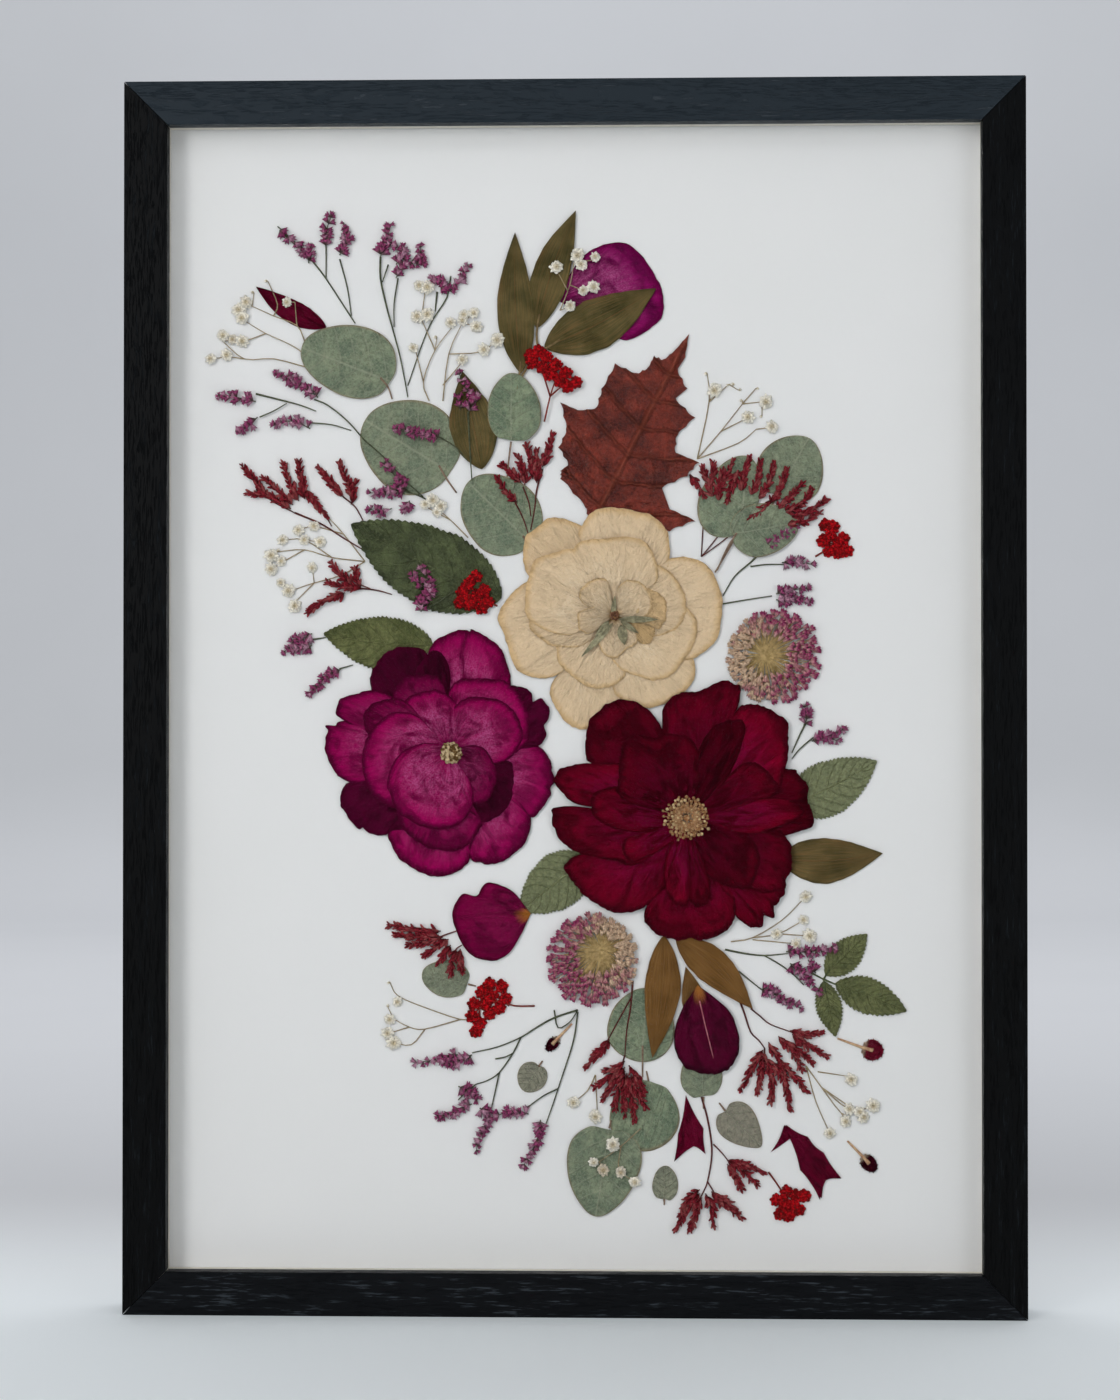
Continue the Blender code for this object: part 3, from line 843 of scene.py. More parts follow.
# lift, stalk routes, flowers, buds
GYPSOPHILA = (
    (
        1.0,
        ((-120, 473, -131, 480, -139, 489, -147, 494, -158, 499, -168, 505),
         (-135, 481, -154, 486, -169, 486, -180, 495), (-138, 495, -142, 503, -154, 508, -165, 513),
         (-142, 503, -143, 515), (-154, 508, -152, 514, -157, 526), (-169, 486, -177, 487, -186, 486),
         (-158, 499, -166, 496, -170, 495)),
        (-186, 486, -178, 488, -180, 498, -175, 496, -170, 495, -172, 511, -168, 515, -170, 507, -147, 515),
        (-164, 520, -157, 526),
    ),
    (
        1.3,
        ((-74, 464, -77, 474, -71, 490, -62, 502), (-67, 464, -64, 488, -57, 504), (-77, 474, -81, 490),
         (-71, 490, -78, 506), (-64, 488, -48, 489, -39, 495), (-67, 472, -57, 484), (-78, 506, -76, 521)),
        (-79, 523, -75, 522, -80, 507, -75, 508, -82, 491, -63, 504, -56, 508, -51, 509, -57, 505, -50, 502,
         -57, 485, -46, 490, -39, 495),
        (-70, 497),
    ),
    (
        2.0,
        ((-7, 510, -2, 523, 0, 534), (-2, 523, 5, 520), (0, 534, 11, 536), (-3, 520, -9, 531)),
        (2, 538, 11, 537, 4, 533, -9, 532, 5, 520, 10, 522, -2, 512),
        (),
    ),
    (
        0.6,
        ((63, 434, 69, 463, 68, 478), (63, 434, 75, 448, 86, 462), (63, 434, 84, 442, 93, 449),
         (69, 463, 79, 472), (86, 462, 93, 470), (75, 448, 89, 455), (86, 462, 96, 463),
         (93, 449, 101, 450)),
        (72, 469, 98, 463, 89, 455, 101, 450),
        (68, 478, 79, 472, 82, 472, 84, 469, 86, 464, 93, 470, 96, 456),
    ),
    (
        0.6,
        ((-107, 382, -124, 384, -138, 388, -152, 387), (-107, 382, -118, 396, -128, 407),
         (-107, 382, -119, 375, -133, 371, -145, 367), (-124, 384, -138, 393, -149, 393),
         (-138, 388, -147, 383, -155, 378), (-118, 396, -133, 400, -141, 398), (-133, 371, -142, 362)),
        (-141, 398, -133, 400, -138, 393, -130, 392, -149, 393, -155, 385, -155, 378, -150, 382, -134, 379,
         -150, 371, -146, 367, -143, 359),
        (-128, 407, -152, 387),
    ),
    (
        1.4,
        ((-54, 394, -63, 403, -70, 409), (-63, 403, -76, 410)),
        (-76, 411, -72, 413, -68, 410, -70, 407),
        (),
    ),
    (
        0.6,
        ((-52, 149, -58, 148, -76, 154, -90, 160, -94, 167), (-58, 148, -76, 143, -84, 144, -92, 148),
         (-76, 143, -83, 135, -92, 136), (-84, 144, -94, 141)),
        (-90, 157, -94, 148, -95, 141, -92, 136),
        (-95, 154, -94, 167),
    ),
    (
        0.6,
        ((80, 188, 91, 190, 106, 199, 117, 210), (91, 190, 104, 192, 117, 199), (91, 189, 113, 187),
         (104, 192, 119, 191)),
        (118, 211, 117, 199, 120, 191, 103, 192, 113, 187),
        (),
    ),
    (
        0.6,
        ((11, 120, 7, 112, 0, 106), (11, 120, 12, 100)),
        (0, 106, 11, 99),
        (),
    ),
    (
        2.2,
        ((34, 93, 24, 84, 13, 76), (24, 84, 23, 72, 31, 66)),
        (20, 85, 10, 76, 15, 72, 24, 71, 31, 66),
        (),
    ),
    (
        0.6,
        ((118, 125, 126, 114, 136, 101, 140, 102), (124, 122, 138, 120), (126, 114, 140, 103, 151, 104),
         (118, 125, 123, 107, 130, 91), (126, 114, 145, 101)),
        (141, 118, 140, 103, 145, 102, 138, 97, 152, 105, 147, 99, 130, 91),
        (),
    ),
)

# lift, stalk routes, knobs
YARROW = (
    (
        2.7,
        ((-15, 453, -12, 466, -9, 475), (-12, 466, -16, 478, -20, 483), (-12, 466, -4, 473)),
        (-22, 487, -18, 489, -14, 486, -9, 482, -4, 478, 1, 473, -21, 483, -16, 481, -12, 477, -7, 474,
         -3, 471),
    ),
    (
        0.4,
        ((123, 384, 130, 388, 136, 389),),
        (128, 400, 132, 399, 137, 393, 139, 387, 130, 394, 134, 389, 127, 392, 135, 386, 130, 387),
    ),
    (
        2.0,
        ((-39, 359, -49, 363, -55, 362),),
        (-50, 374, -54, 370, -57, 366, -58, 361, -46, 367, -50, 364, -53, 360, -44, 361, -47, 358),
    ),
    (
        0.4,
        ((-20, 155, -30, 155, -39, 157, -48, 154), (-33, 155, -40, 160)),
        (-43, 166, -37, 165, -47, 162, -51, 156, -42, 160, -35, 159, -45, 156, -52, 150, -48, 146, -50, 142,
         -43, 151, -38, 154),
    ),
    (
        0.4,
        ((99, 71, 104, 64, 109, 56),),
        (103, 57, 105, 50, 109, 49, 114, 52, 117, 59, 107, 55, 111, 54, 113, 59, 108, 61),
    ),
)

# the claw's x and y, height, tone, rim
MAGENTA_ROSE = (
    (-71, 264, 1.1, 0.62, (-94, 247, -95, 242, -93, 236, -89, 230, -82, 225, -76, 222, -69, 221, -62, 222,
     -56, 226, -53, 230, -51, 238)),
    (-54, 271, 1.4, 0.7, (-50, 245, -53, 231, -48, 228, -42, 227, -36, 229, -30, 233, -25, 238, -22, 246,
     -22, 253, -24, 260)),
    (-85, 274, 1.4, 0.1, (-108, 271, -113, 269, -117, 268, -119, 263, -119, 257, -115, 251, -110, 245,
     -108, 246, -106, 244, -101, 242, -96, 242, -94, 244, -85, 245)),
    (-49, 279, 1.7, 0.55, (-27, 258, -21, 251, -16, 256, -12, 262, -12, 266, -10, 270, -11, 275, -12, 280,
     -14, 284, -17, 287, -21, 289, -27, 287)),
    (-93, 291, 1.7, 0.6, (-113, 301, -120, 300, -122, 298, -127, 298, -126, 295, -127, 290, -127, 284,
     -124, 277, -120, 272, -115, 269, -109, 269, -104, 274)),
    (-60, 309, 1.3, 0.88, (-34, 313, -32, 321, -34, 329, -37, 337, -44, 343, -52, 347, -53, 346, -57, 347,
     -64, 345, -72, 340, -77, 328)),
    (-92, 301, 2.0, 0.5, (-91, 312, -98, 315, -105, 316, -112, 314, -119, 312, -121, 307, -121, 303,
     -115, 299)),
    (-37, 298, 2.0, 0.12, (-29, 286, -20, 287, -16, 289, -14, 293, -15, 298, -13, 301, -12, 306, -15, 310,
     -17, 312, -21, 310, -21, 314, -24, 317, -29, 318, -34, 319)),
    (-77, 307, 1.8, 0.05, (-72, 329, -76, 336, -82, 338, -89, 338, -96, 335, -101, 330, -104, 323,
     -103, 313)),
    (-72, 307, 2.1, 0.02, (-64, 314, -63, 322, -64, 329, -67, 334, -71, 336, -76, 333, -81, 325)),
    (-72, 301, 2.4, 0.28, (-65, 311, -66, 318, -70, 323, -77, 324, -85, 323, -91, 318, -94, 309)),
    (-52, 298, 2.3, 0.92, (-29, 284, -23, 291, -23, 297, -23, 304, -26, 311, -30, 317, -36, 321, -44, 322,
     -52, 322, -59, 321, -64, 316)),
    (-57, 276, 2.0, 0.04, (-55, 252, -48, 249, -42, 250, -36, 254, -32, 261, -31, 269, -31, 277, -34, 280,
     -41, 280)),
    (-69, 266, 2.3, 0.34, (-91, 253, -87, 245, -82, 240, -75, 236, -67, 234, -60, 234, -53, 238, -48, 245,
     -47, 249, -53, 254)),
    (-65, 291, 2.6, 0.62, (-57, 297, -58, 305, -62, 312, -70, 316, -78, 315, -85, 312, -89, 303)),
    (-59, 290, 3.0, 0.52, (-49, 283, -41, 279, -37, 279, -32, 282, -28, 287, -26, 293, -27, 299, -31, 306,
     -36, 310, -43, 312, -50, 313, -57, 311, -61, 307)),
    (-71, 291, 2.9, 0.32, (-83, 308, -90, 312, -97, 311, -103, 309, -107, 304, -107, 298, -104, 291)),
    (-68, 290, 3.3, 0.66, (-72, 295, -80, 303, -88, 305, -96, 303, -102, 297, -106, 291, -108, 282,
     -107, 272, -104, 264, -99, 259, -92, 256, -84, 259)),
    (-61, 281, 3.3, 0.3, (-55, 259, -48, 258, -43, 261, -40, 267, -39, 274, -42, 281, -45, 286, -51, 288,
     -57, 287)),
    (-66, 284, 3.8, 0.72, (-69, 289, -77, 289, -83, 287, -89, 283, -93, 277, -95, 270, -94, 263, -91, 256,
     -86, 251, -79, 247, -71, 245, -63, 246, -57, 249, -52, 255, -51, 263, -53, 270, -57, 276, -60, 280)),
)
CRIMSON_ROSE = (
    (59, 235, 2.8, 0.35, (44, 214, 37, 206, 36, 199, 39, 195, 44, 191, 52, 189, 59, 190, 65, 189, 73, 191,
     79, 195, 82, 201, 82, 208, 76, 214)),
    (76, 240, 2.8, 0.4, (82, 212, 82, 202, 86, 198, 91, 195, 96, 196, 97, 201, 102, 200, 102, 206, 105, 209,
     107, 216, 100, 226)),
    (38, 275, 2.8, 0.22, (46, 289, 45, 296, 41, 303, 35, 308, 29, 311, 21, 311, 14, 307, 8, 300, 6, 292,
     6, 285, 7, 280, 11, 279)),
    (44, 261, 3.1, 0.6, (23, 279, 11, 279, 1, 278, -7, 276, -9, 273, -10, 269, -6, 264, -1, 259, 6, 257,
     17, 256)),
    (62, 275, 3.1, 0.3, (75, 292, 81, 302, 84, 309, 85, 317, 82, 319, 77, 321, 71, 319, 65, 316, 58, 315,
     51, 313, 46, 308, 45, 301, 45, 292)),
    (82, 256, 2.8, 0.25, (106, 255, 117, 255, 119, 260, 119, 263, 119, 267, 116, 271, 113, 275, 107, 276)),
    (88, 250, 3.1, 0.3, (104, 241, 114, 244, 120, 246, 122, 250, 121, 255, 118, 259, 111, 260)),
    (72, 262, 3.4, 0.55, (92, 261, 104, 265, 107, 274, 109, 282, 109, 291, 109, 299, 105, 303, 98, 307,
     91, 309, 84, 307, 78, 296)),
    (72, 247, 3.2, 0.3, (83, 220, 95, 213, 107, 215, 108, 220, 111, 225, 111, 230, 110, 237, 107, 243,
     100, 249)),
    (48, 239, 3.1, 0.38, (14, 233, 2, 232, -3, 229, -5, 225, -1, 219, 5, 212, 12, 207, 19, 203, 28, 203,
     35, 205, 40, 209, 47, 216)),
    (48, 244, 3.5, 0.34, (19, 254, 8, 256, -2, 257, -10, 256, -11, 253, -10, 246, -6, 239, 1, 234, 11, 231,
     22, 229, 27, 227, 34, 228, 44, 235)),
    (64, 246, 3.7, 0.2, (62, 232, 66, 223, 72, 219, 79, 216, 86, 215, 91, 217, 94, 226, 94, 234, 88, 244)),
    (64, 260, 3.8, 0.12, (71, 263, 78, 271, 83, 281, 86, 290, 87, 299, 81, 301, 72, 298, 66, 291, 61, 279)),
    (57, 260, 3.9, 0.22, (64, 268, 64, 278, 63, 286, 58, 292, 48, 294, 41, 292, 34, 293, 27, 291, 24, 284,
     23, 275, 25, 265)),
    (50, 250, 3.9, 0.42, (38, 264, 22, 267, 13, 265, 9, 262, 9, 256, 12, 250, 20, 246, 30, 244, 39, 244,
     48, 246)),
    (52, 243, 4.1, 0.66, (38, 243, 28, 241, 25, 236, 28, 229, 34, 230, 43, 234, 51, 239)),
    (68, 254, 4.2, 0.3, (81, 255, 93, 259, 101, 262, 104, 267, 100, 273, 93, 279, 85, 278, 75, 269)),
    (53, 255, 4.2, 0.3, (34, 270, 24, 272, 22, 265, 26, 260, 34, 257, 46, 254)),
    (60, 241, 4.0, 0.34, (58, 226, 59, 209, 65, 206, 69, 209, 69, 218, 65, 228)),
    (55, 241, 4.3, 0.62, (48, 234, 46, 227, 46, 217, 50, 209, 57, 206, 59, 213, 59, 226)),
    (69, 252, 4.7, 0.85, (75, 248, 83, 244, 93, 243, 101, 245, 109, 248, 115, 251, 117, 255, 114, 258,
     107, 261, 97, 261, 88, 258, 80, 255)),
)
BEIGE_ROSE = (
    (11, 336, 1.15, 0.65, (-6, 326, -11, 320, -12, 313, -8, 305, -3, 299, 4, 296, 12, 298, 22, 304,
     27, 312)),
    (6, 363, 1.2, 0.45, (9, 391, 5, 399, -1, 402, -7, 404, -13, 404, -19, 399, -24, 395, -26, 387, -25, 378,
     -21, 371)),
    (33, 339, 1.5, 0.65, (19, 320, 22, 313, 29, 309, 38, 307, 46, 309, 55, 314, 61, 321, 62, 328, 60, 334)),
    (6, 354, 1.5, 0.75, (-22, 373, -30, 367, -36, 360, -39, 352, -36, 346, -34, 339, -30, 328, -25, 324,
     -17, 322, -8, 324, -2, 330)),
    (25, 366, 1.8, 0.7, (48, 377, 49, 387, 48, 396, 45, 401, 40, 405, 33, 407, 24, 409, 16, 409, 8, 406,
     2, 396)),
    (32, 356, 1.8, 0.8, (54, 331, 61, 332, 67, 336, 73, 342, 75, 351, 76, 361, 74, 369, 70, 377, 64, 382,
     56, 384, 48, 383)),
    (14, 349, 2.2, 0.55, (-9, 340, -8, 331, -3, 325, 3, 320, 10, 317, 19, 318, 25, 322, 28, 329)),
    (27, 350, 2.5, 0.6, (17, 336, 20, 331, 25, 326, 33, 323, 41, 321, 50, 324, 56, 331, 61, 339, 63, 347,
     62, 353, 56, 360)),
    (12, 351, 2.5, 0.55, (-23, 352, -22, 347, -18, 343, -12, 339, -6, 338, 2, 338, 8, 341)),
    (27, 356, 2.8, 0.58, (40, 343, 48, 345, 54, 349, 57, 355, 57, 362, 54, 370, 49, 376, 41, 381)),
    (14, 359, 2.9, 0.62, (8, 385, -1, 388, -10, 386, -19, 383, -22, 377, -24, 370, -25, 361, -24, 354,
     -19, 349, -10, 345, -2, 344, 4, 347)),
    (20, 361, 3.2, 0.55, (37, 367, 42, 371, 43, 377, 41, 384, 37, 391, 29, 394, 22, 394, 14, 393, 4, 392,
     -1, 387)),
    (27, 354, 3.4, 0.2, (39, 349, 43, 347, 45, 349, 47, 353, 46, 363, 38, 368)),
    (27, 352, 3.4, 0.05, (28, 349, 32, 343, 34, 340, 39, 340, 41, 344, 41, 349, 36, 352)),
    (22, 350, 3.5, 0.85, (11, 342, 15, 335, 20, 332, 24, 334, 27, 337, 32, 340, 32, 345, 27, 350)),
    (18, 354, 3.6, 0.5, (12, 359, 3, 356, 2, 351, 3, 347, 6, 345, 11, 346, 16, 350)),
    (19, 355, 3.8, 0.5, (19, 366, 17, 372, 12, 373, 6, 370, 3, 366, 4, 361, 9, 357)),
    (21, 355, 3.8, 0.55, (28, 352, 35, 353, 39, 356, 40, 361, 38, 367, 34, 371, 28, 372, 24, 370, 22, 367)),
)

# lift, stalk routes, routes of the flower heads
STATICE = {
    "limonium_01": (
        0.7,
        ((-151, 552, -140, 542, -134, 536, -127, 527, -114, 507, -112, 504),
         (-127, 543, -127, 536, -127, 527), (-120, 537, -116, 522, -114, 508)),
        ((-152, 554, -140, 543, -138, 540), (-135, 544, -136, 535), (-124, 560, -127, 551, -127, 543),
         (-118, 556, -116, 547, -120, 539)),
    ),
    "limonium_02": (
        1.2,
        ((-99, 538, -99, 527, -96, 513, -93, 502, -89, 487, -86, 472, -85, 466),
         (-90, 527, -92, 514, -92, 502), (-95, 534, -98, 525)),
        ((-94, 555, -96, 547, -99, 538), (-95, 545, -87, 541, -91, 534),
         (-79, 544, -78, 535, -86, 535, -91, 527)),
    ),
    "limonium_03": (
        0.7,
        ((-70, 520, -71, 510), (-63, 528, -65, 517, -72, 506, -77, 495, -85, 472)),
        ((-73, 527, -64, 524), (-54, 534, -58, 526, -63, 520), (-69, 523, -62, 520)),
    ),
    "limonium_04": (
        1.4,
        ((-163, 468, -151, 465, -140, 462, -132, 459),
         (-133, 465, -126, 462, -116, 454, -107, 444, -97, 435, -86, 423, -77, 415),
         (-135, 453, -124, 452, -114, 449), (-161, 456, -154, 459, -147, 463)),
        ((-183, 467, -173, 466, -163, 464), (-153, 479, -145, 474, -137, 471, -131, 466),
         (-148, 476, -140, 476), (-162, 456, -168, 451, -172, 448), (-154, 452, -144, 454, -135, 450)),
    ),
    "limonium_05": (
        2.6,
        ((-54, 458, -53, 438, -52, 423), (-68, 445, -60, 440, -54, 433)),
        ((-59, 479, -55, 470, -50, 464, -54, 458), (-59, 468, -58, 459), (-91, 450, -81, 448, -68, 445)),
    ),
    "limonium_06": (
        1.6,
        ((-86, 418, -78, 415, -70, 410),),
        ((-97, 433, -91, 425, -85, 418), (-105, 417, -96, 417, -86, 418), (-105, 409, -99, 407, -93, 409),
         (-86, 408, -84, 413)),
    ),
    "limonium_07": (
        2.4,
        ((-76, 357, -68, 362, -56, 370),),
        ((-78, 379, -74, 371, -73, 364), (-83, 375, -76, 368), (-70, 369, -77, 362, -78, 356)),
    ),
    "limonium_08": (
        0.7,
        ((-134, 342, -127, 343), (-120, 327, -113, 329)),
        ((-149, 335, -141, 342, -134, 345), (-144, 336, -134, 339), (-135, 314, -129, 321, -119, 327)),
    ),
    "limonium_09": (
        0.7,
        ((98, 389, 90, 381, 82, 374, 76, 364), (90, 379, 98, 380, 107, 380), (76, 360, 88, 362, 101, 364)),
        ((98, 389, 105, 394, 114, 399), (106, 381, 114, 381, 122, 380), (103, 365, 110, 367, 120, 368),
         (103, 362, 112, 362, 121, 361)),
    ),
    "limonium_10": (
        0.7,
        ((118, 299, 115, 293, 111, 284), (122, 292, 115, 286, 111, 281)),
        ((117, 309, 119, 303, 117, 298), (121, 290, 128, 293, 138, 296), (125, 293, 135, 290)),
    ),
    "limonium_11": (
        0.7,
        ((2, 153, -10, 149, -19, 144, -27, 139, -39, 134, -52, 131),
         (-27, 139, -31, 131, -38, 121, -44, 117, -50, 115), (-38, 121, -40, 112, -42, 103),
         (2, 152, 0, 138, -4, 125, -8, 113, -11, 104, -16, 90), (-8, 113, -16, 109, -24, 103),
         (-40, 128, -35, 129, -31, 131), (-10, 153, -8, 144, -2, 147, 2, 153),
         (-50, 115, -55, 111, -59, 107)),
        ((-82, 126, -70, 127, -61, 126, -52, 130), (-68, 129, -59, 130), (-59, 114, -53, 111, -49, 107),
         (-70, 98, -61, 101, -52, 105), (-48, 103, -44, 98, -48, 89, -50, 80),
         (-42, 98, -33, 101, -23, 100), (-17, 97, -19, 86, -26, 73)),
    ),
    "limonium_12": (
        0.7,
        ((77, 184, 87, 182, 97, 181, 109, 182), (97, 181, 104, 177, 111, 172, 117, 166),
         (84, 173, 90, 168, 95, 164)),
        ((108, 183, 120, 183, 133, 185), (110, 177, 118, 171, 125, 162), (119, 179, 123, 172),
         (95, 164, 105, 160, 116, 154)),
    ),
}
FEATHERS = (
    (
        0.7,
        ((-143, 407, -129, 401, -118, 394, -108, 388), (-118, 415, -112, 410, -108, 403),
         (-163, 419, -153, 412, -143, 407), (-140, 419, -129, 408, -124, 400)),
        ((-170, 431, -163, 423, -156, 414), (-167, 417, -156, 415, -145, 409),
         (-159, 425, -150, 417, -144, 411), (-149, 432, -145, 422, -141, 413),
         (-138, 419, -133, 413, -127, 405), (-131, 430, -124, 422, -118, 415),
         (-120, 432, -116, 423, -113, 414), (-112, 423, -113, 417, -114, 411),
         (-141, 433, -139, 422, -138, 414)),
    ),
    (
        1.2,
        ((-116, 367, -108, 368, -100, 367, -93, 365), (-114, 373, -109, 370, -104, 368)),
        ((-124, 381, -119, 375, -113, 370), (-112, 378, -111, 373, -109, 369),
         (-126, 371, -117, 369, -108, 368), (-136, 356, -129, 361, -117, 366)),
    ),
    (
        0.7,
        ((-16, 429, -19, 418, -20, 409, -22, 398), (-26, 420, -23, 412, -22, 405),
         (-30, 412, -26, 404, -23, 395)),
        ((-11, 447, -13, 438, -16, 430), (-24, 441, -22, 433, -21, 424), (-37, 431, -32, 427, -27, 422),
         (-19, 438, -19, 429, -19, 422), (-39, 424, -35, 418, -29, 412), (-29, 436, -26, 429, -25, 421)),
    ),
    (
        0.7,
        ((59, 426, 63, 422, 66, 413, 66, 402, 65, 384), (85, 413, 80, 406, 76, 398, 70, 390, 65, 384),
         (112, 404, 101, 403, 89, 402, 76, 392, 65, 384), (89, 428, 87, 420, 85, 413),
         (108, 422, 103, 414, 95, 407, 89, 402)),
        ((59, 426, 62, 422, 66, 415), (71, 432, 71, 425, 68, 417), (66, 429, 68, 422, 71, 414),
         (81, 432, 77, 424, 73, 415), (89, 434, 87, 426, 85, 417), (84, 429, 81, 421, 78, 412),
         (95, 432, 94, 424, 90, 415), (102, 431, 99, 421, 94, 413), (108, 428, 105, 419, 100, 411),
         (116, 421, 110, 414, 103, 408), (121, 418, 116, 411, 107, 406), (128, 413, 120, 407, 110, 404),
         (101, 413, 96, 408, 90, 404), (125, 406, 117, 402, 108, 400), (76, 428, 74, 421, 74, 412)),
    ),
    (
        0.7,
        ((-72, 188, -66, 191, -57, 194), (-62, 180, -60, 184, -57, 186)),
        ((-94, 196, -83, 194, -68, 193), (-91, 191, -81, 190, -69, 191), (-84, 186, -76, 187, -67, 190),
         (-76, 181, -70, 185, -64, 189), (-69, 177, -66, 181, -63, 186), (-63, 171, -62, 177, -60, 184),
         (-57, 173, -58, 179, -58, 184)),
    ),
    (
        0.7,
        ((30, 168, 29, 155, 27, 143, 26, 130), (29, 159, 24, 150, 18, 139, 15, 134),
         (26, 130, 24, 125, 19, 120)),
        ((6, 124, 11, 129, 17, 135), (11, 132, 15, 134, 18, 138), (11, 114, 17, 118, 25, 125),
         (15, 108, 19, 115, 26, 124), (26, 100, 26, 109, 27, 121), (31, 97, 30, 107, 28, 119),
         (36, 111, 33, 117, 28, 125), (21, 103, 22, 111, 26, 122), (16, 122, 21, 124, 26, 127),
         (36, 104, 33, 111, 29, 120)),
    ),
    (
        0.7,
        ((84, 159, 87, 151, 90, 142, 94, 138, 97, 134), (90, 154, 95, 150, 100, 146, 111, 142),
         (97, 134, 97, 127, 96, 121)),
        ((110, 143, 118, 141, 126, 142), (111, 141, 118, 136, 128, 130), (104, 140, 111, 133, 116, 123),
         (99, 137, 105, 127, 108, 117), (96, 133, 91, 124, 85, 113), (97, 132, 95, 121, 93, 112),
         (98, 129, 101, 118, 100, 107), (101, 127, 107, 117, 110, 103), (103, 128, 112, 120, 118, 112),
         (107, 138, 115, 132, 121, 127)),
    ),
    (
        0.7,
        ((65, 109, 68, 98, 70, 86, 70, 77, 68, 66, 66, 61, 64, 57), (71, 85, 75, 81, 79, 76),
         (68, 66, 71, 61, 72, 57)),
        ((64, 60, 58, 52, 52, 42), (65, 58, 62, 50, 59, 42), (67, 60, 70, 53, 71, 44),
         (70, 61, 76, 55, 83, 50), (64, 62, 57, 56, 54, 49), (72, 58, 78, 56, 85, 48),
         (79, 76, 87, 75, 96, 71), (78, 75, 82, 69, 85, 63), (78, 77, 86, 72, 93, 65)),
    ),
)


# --- the frame itself --------------------------------------------------------------------------


def dress_frame():
    """Gives every CAD node that stays its own finish."""
    # The four rails are one black wood. The lying rails get a lighter, bluer copy of it and the standing
    # rails a darker one: painted reflection and painted shade.
    lying_painted_sheen = frame_wood("frame_wood_lying", (0.10, 1, 1), (0.006, 0.007, 0.009), (0.024, 0.033, 0.042),
                       (0.055, 0.066, 0.078))
    standing_painted_shade = frame_wood("frame_wood_standing", (1, 1, 0.10), (0.0014, 0.0017, 0.0021),
                          (0.002, 0.0024, 0.003), (0.014, 0.017, 0.020))
    card = spacer_card()
    steel = plated_steel()
    finishes = {
        "rail_top": lying_painted_sheen,
        "rail_bottom": lying_painted_sheen,
        "rail_left": standing_painted_shade,
        "rail_right": standing_painted_shade,
        "glazing": clear_glass(),
        "mount_board": white_board(),
        "backing_board": hardboard(),
        "hanger_plate": steel,
    }
    for side in ("top", "bottom", "left", "right"):
        finishes[f"spacer_{side}"] = card
    for number in range(1, 7):
        finishes[f"tab_{number}"] = steel
    for name, finish in finishes.items():
        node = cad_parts[name]
        node.data.materials.clear()
        node.data.materials.append(finish)
    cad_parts["glazing"].visible_shadow = False


def drive_hanger_nails():
    """Two small round-headed nails through the ends of the sawtooth hanger, in metres."""
    off_middle, radius, rise, sunk = 0.0185, 0.0022, 0.0009, 0.0001
    low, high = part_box("hanger_plate")
    bm = bmesh.new()
    for side in (-1, 1):
        centre = Vector(((low.x + high.x) / 2 + side * off_middle, high.y - sunk, (low.z + high.z) / 2))
        place = Matrix.Translation(centre) @ Matrix.Rotation(-math.pi / 2, 4, "X")
        dome = place @ Matrix.Diagonal((radius, radius, rise, 1))
        bmesh.ops.create_uvsphere(bm, u_segments=20, v_segments=10, radius=1, matrix=dome)
    nails = as_object("hanger_nails", bm, (plated_steel(),))
    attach(nails, "root")


# --- leaves ------------------------------------------------------------------------------------


def lay_eucalyptus():
    """Round leaves, notched where the petiole joins them."""
    finish = leaf_finish("eucalyptus", (0.105, 0.15, 0.095), (0.20, 0.245, 0.155), (0.34, 0.36, 0.26),
                         (0.23, 0.20, 0.16), veins=5, slope=1.6, vein_share=0.5, rim=(0.30, 0.22, 0.13),
                         relief=3.0)
    tan = stem_finish("petiole", (0.16, 0.10, 0.07), (0.30, 0.21, 0.15))
    petioles = Sprig()
    notch_depth, notch_width = 0.24, 0.2
    for number, (x, y, length, width, turn, taper, layer, tone, petiole) in enumerate(EUCALYPTUS, start=1):
        name = f"eucalyptus_{number:02d}"
        centre = Vector((x, y))
        route = pairs(*petiole)
        foot = Vector(route[0])
        tip = centre + heading(turn) * length * 0.47
        height = 0.55 + LAYER * layer
        lobes = []
        for point in egg(centre, length, width, turn, seed=number, taper=taper):
            notch = notch_depth * max(0, 1 - (point - foot).length / (width * notch_width))
            lobes.append(point + (centre - point) * notch)
        spine = (foot + (tip - foot) * 0.02, tip - (tip - foot) * 0.1)
        patch(name, lobes, spine, height, finish, "eucalyptus", (name,), number, curl=0.35, lean=0.25,
              tone=tone, keel=0.12)
        petioles.stalk(route, 0.55, 0.4, height + 0.25, height)
    petioles.lay("eucalyptus_petioles", (tan,), "eucalyptus")


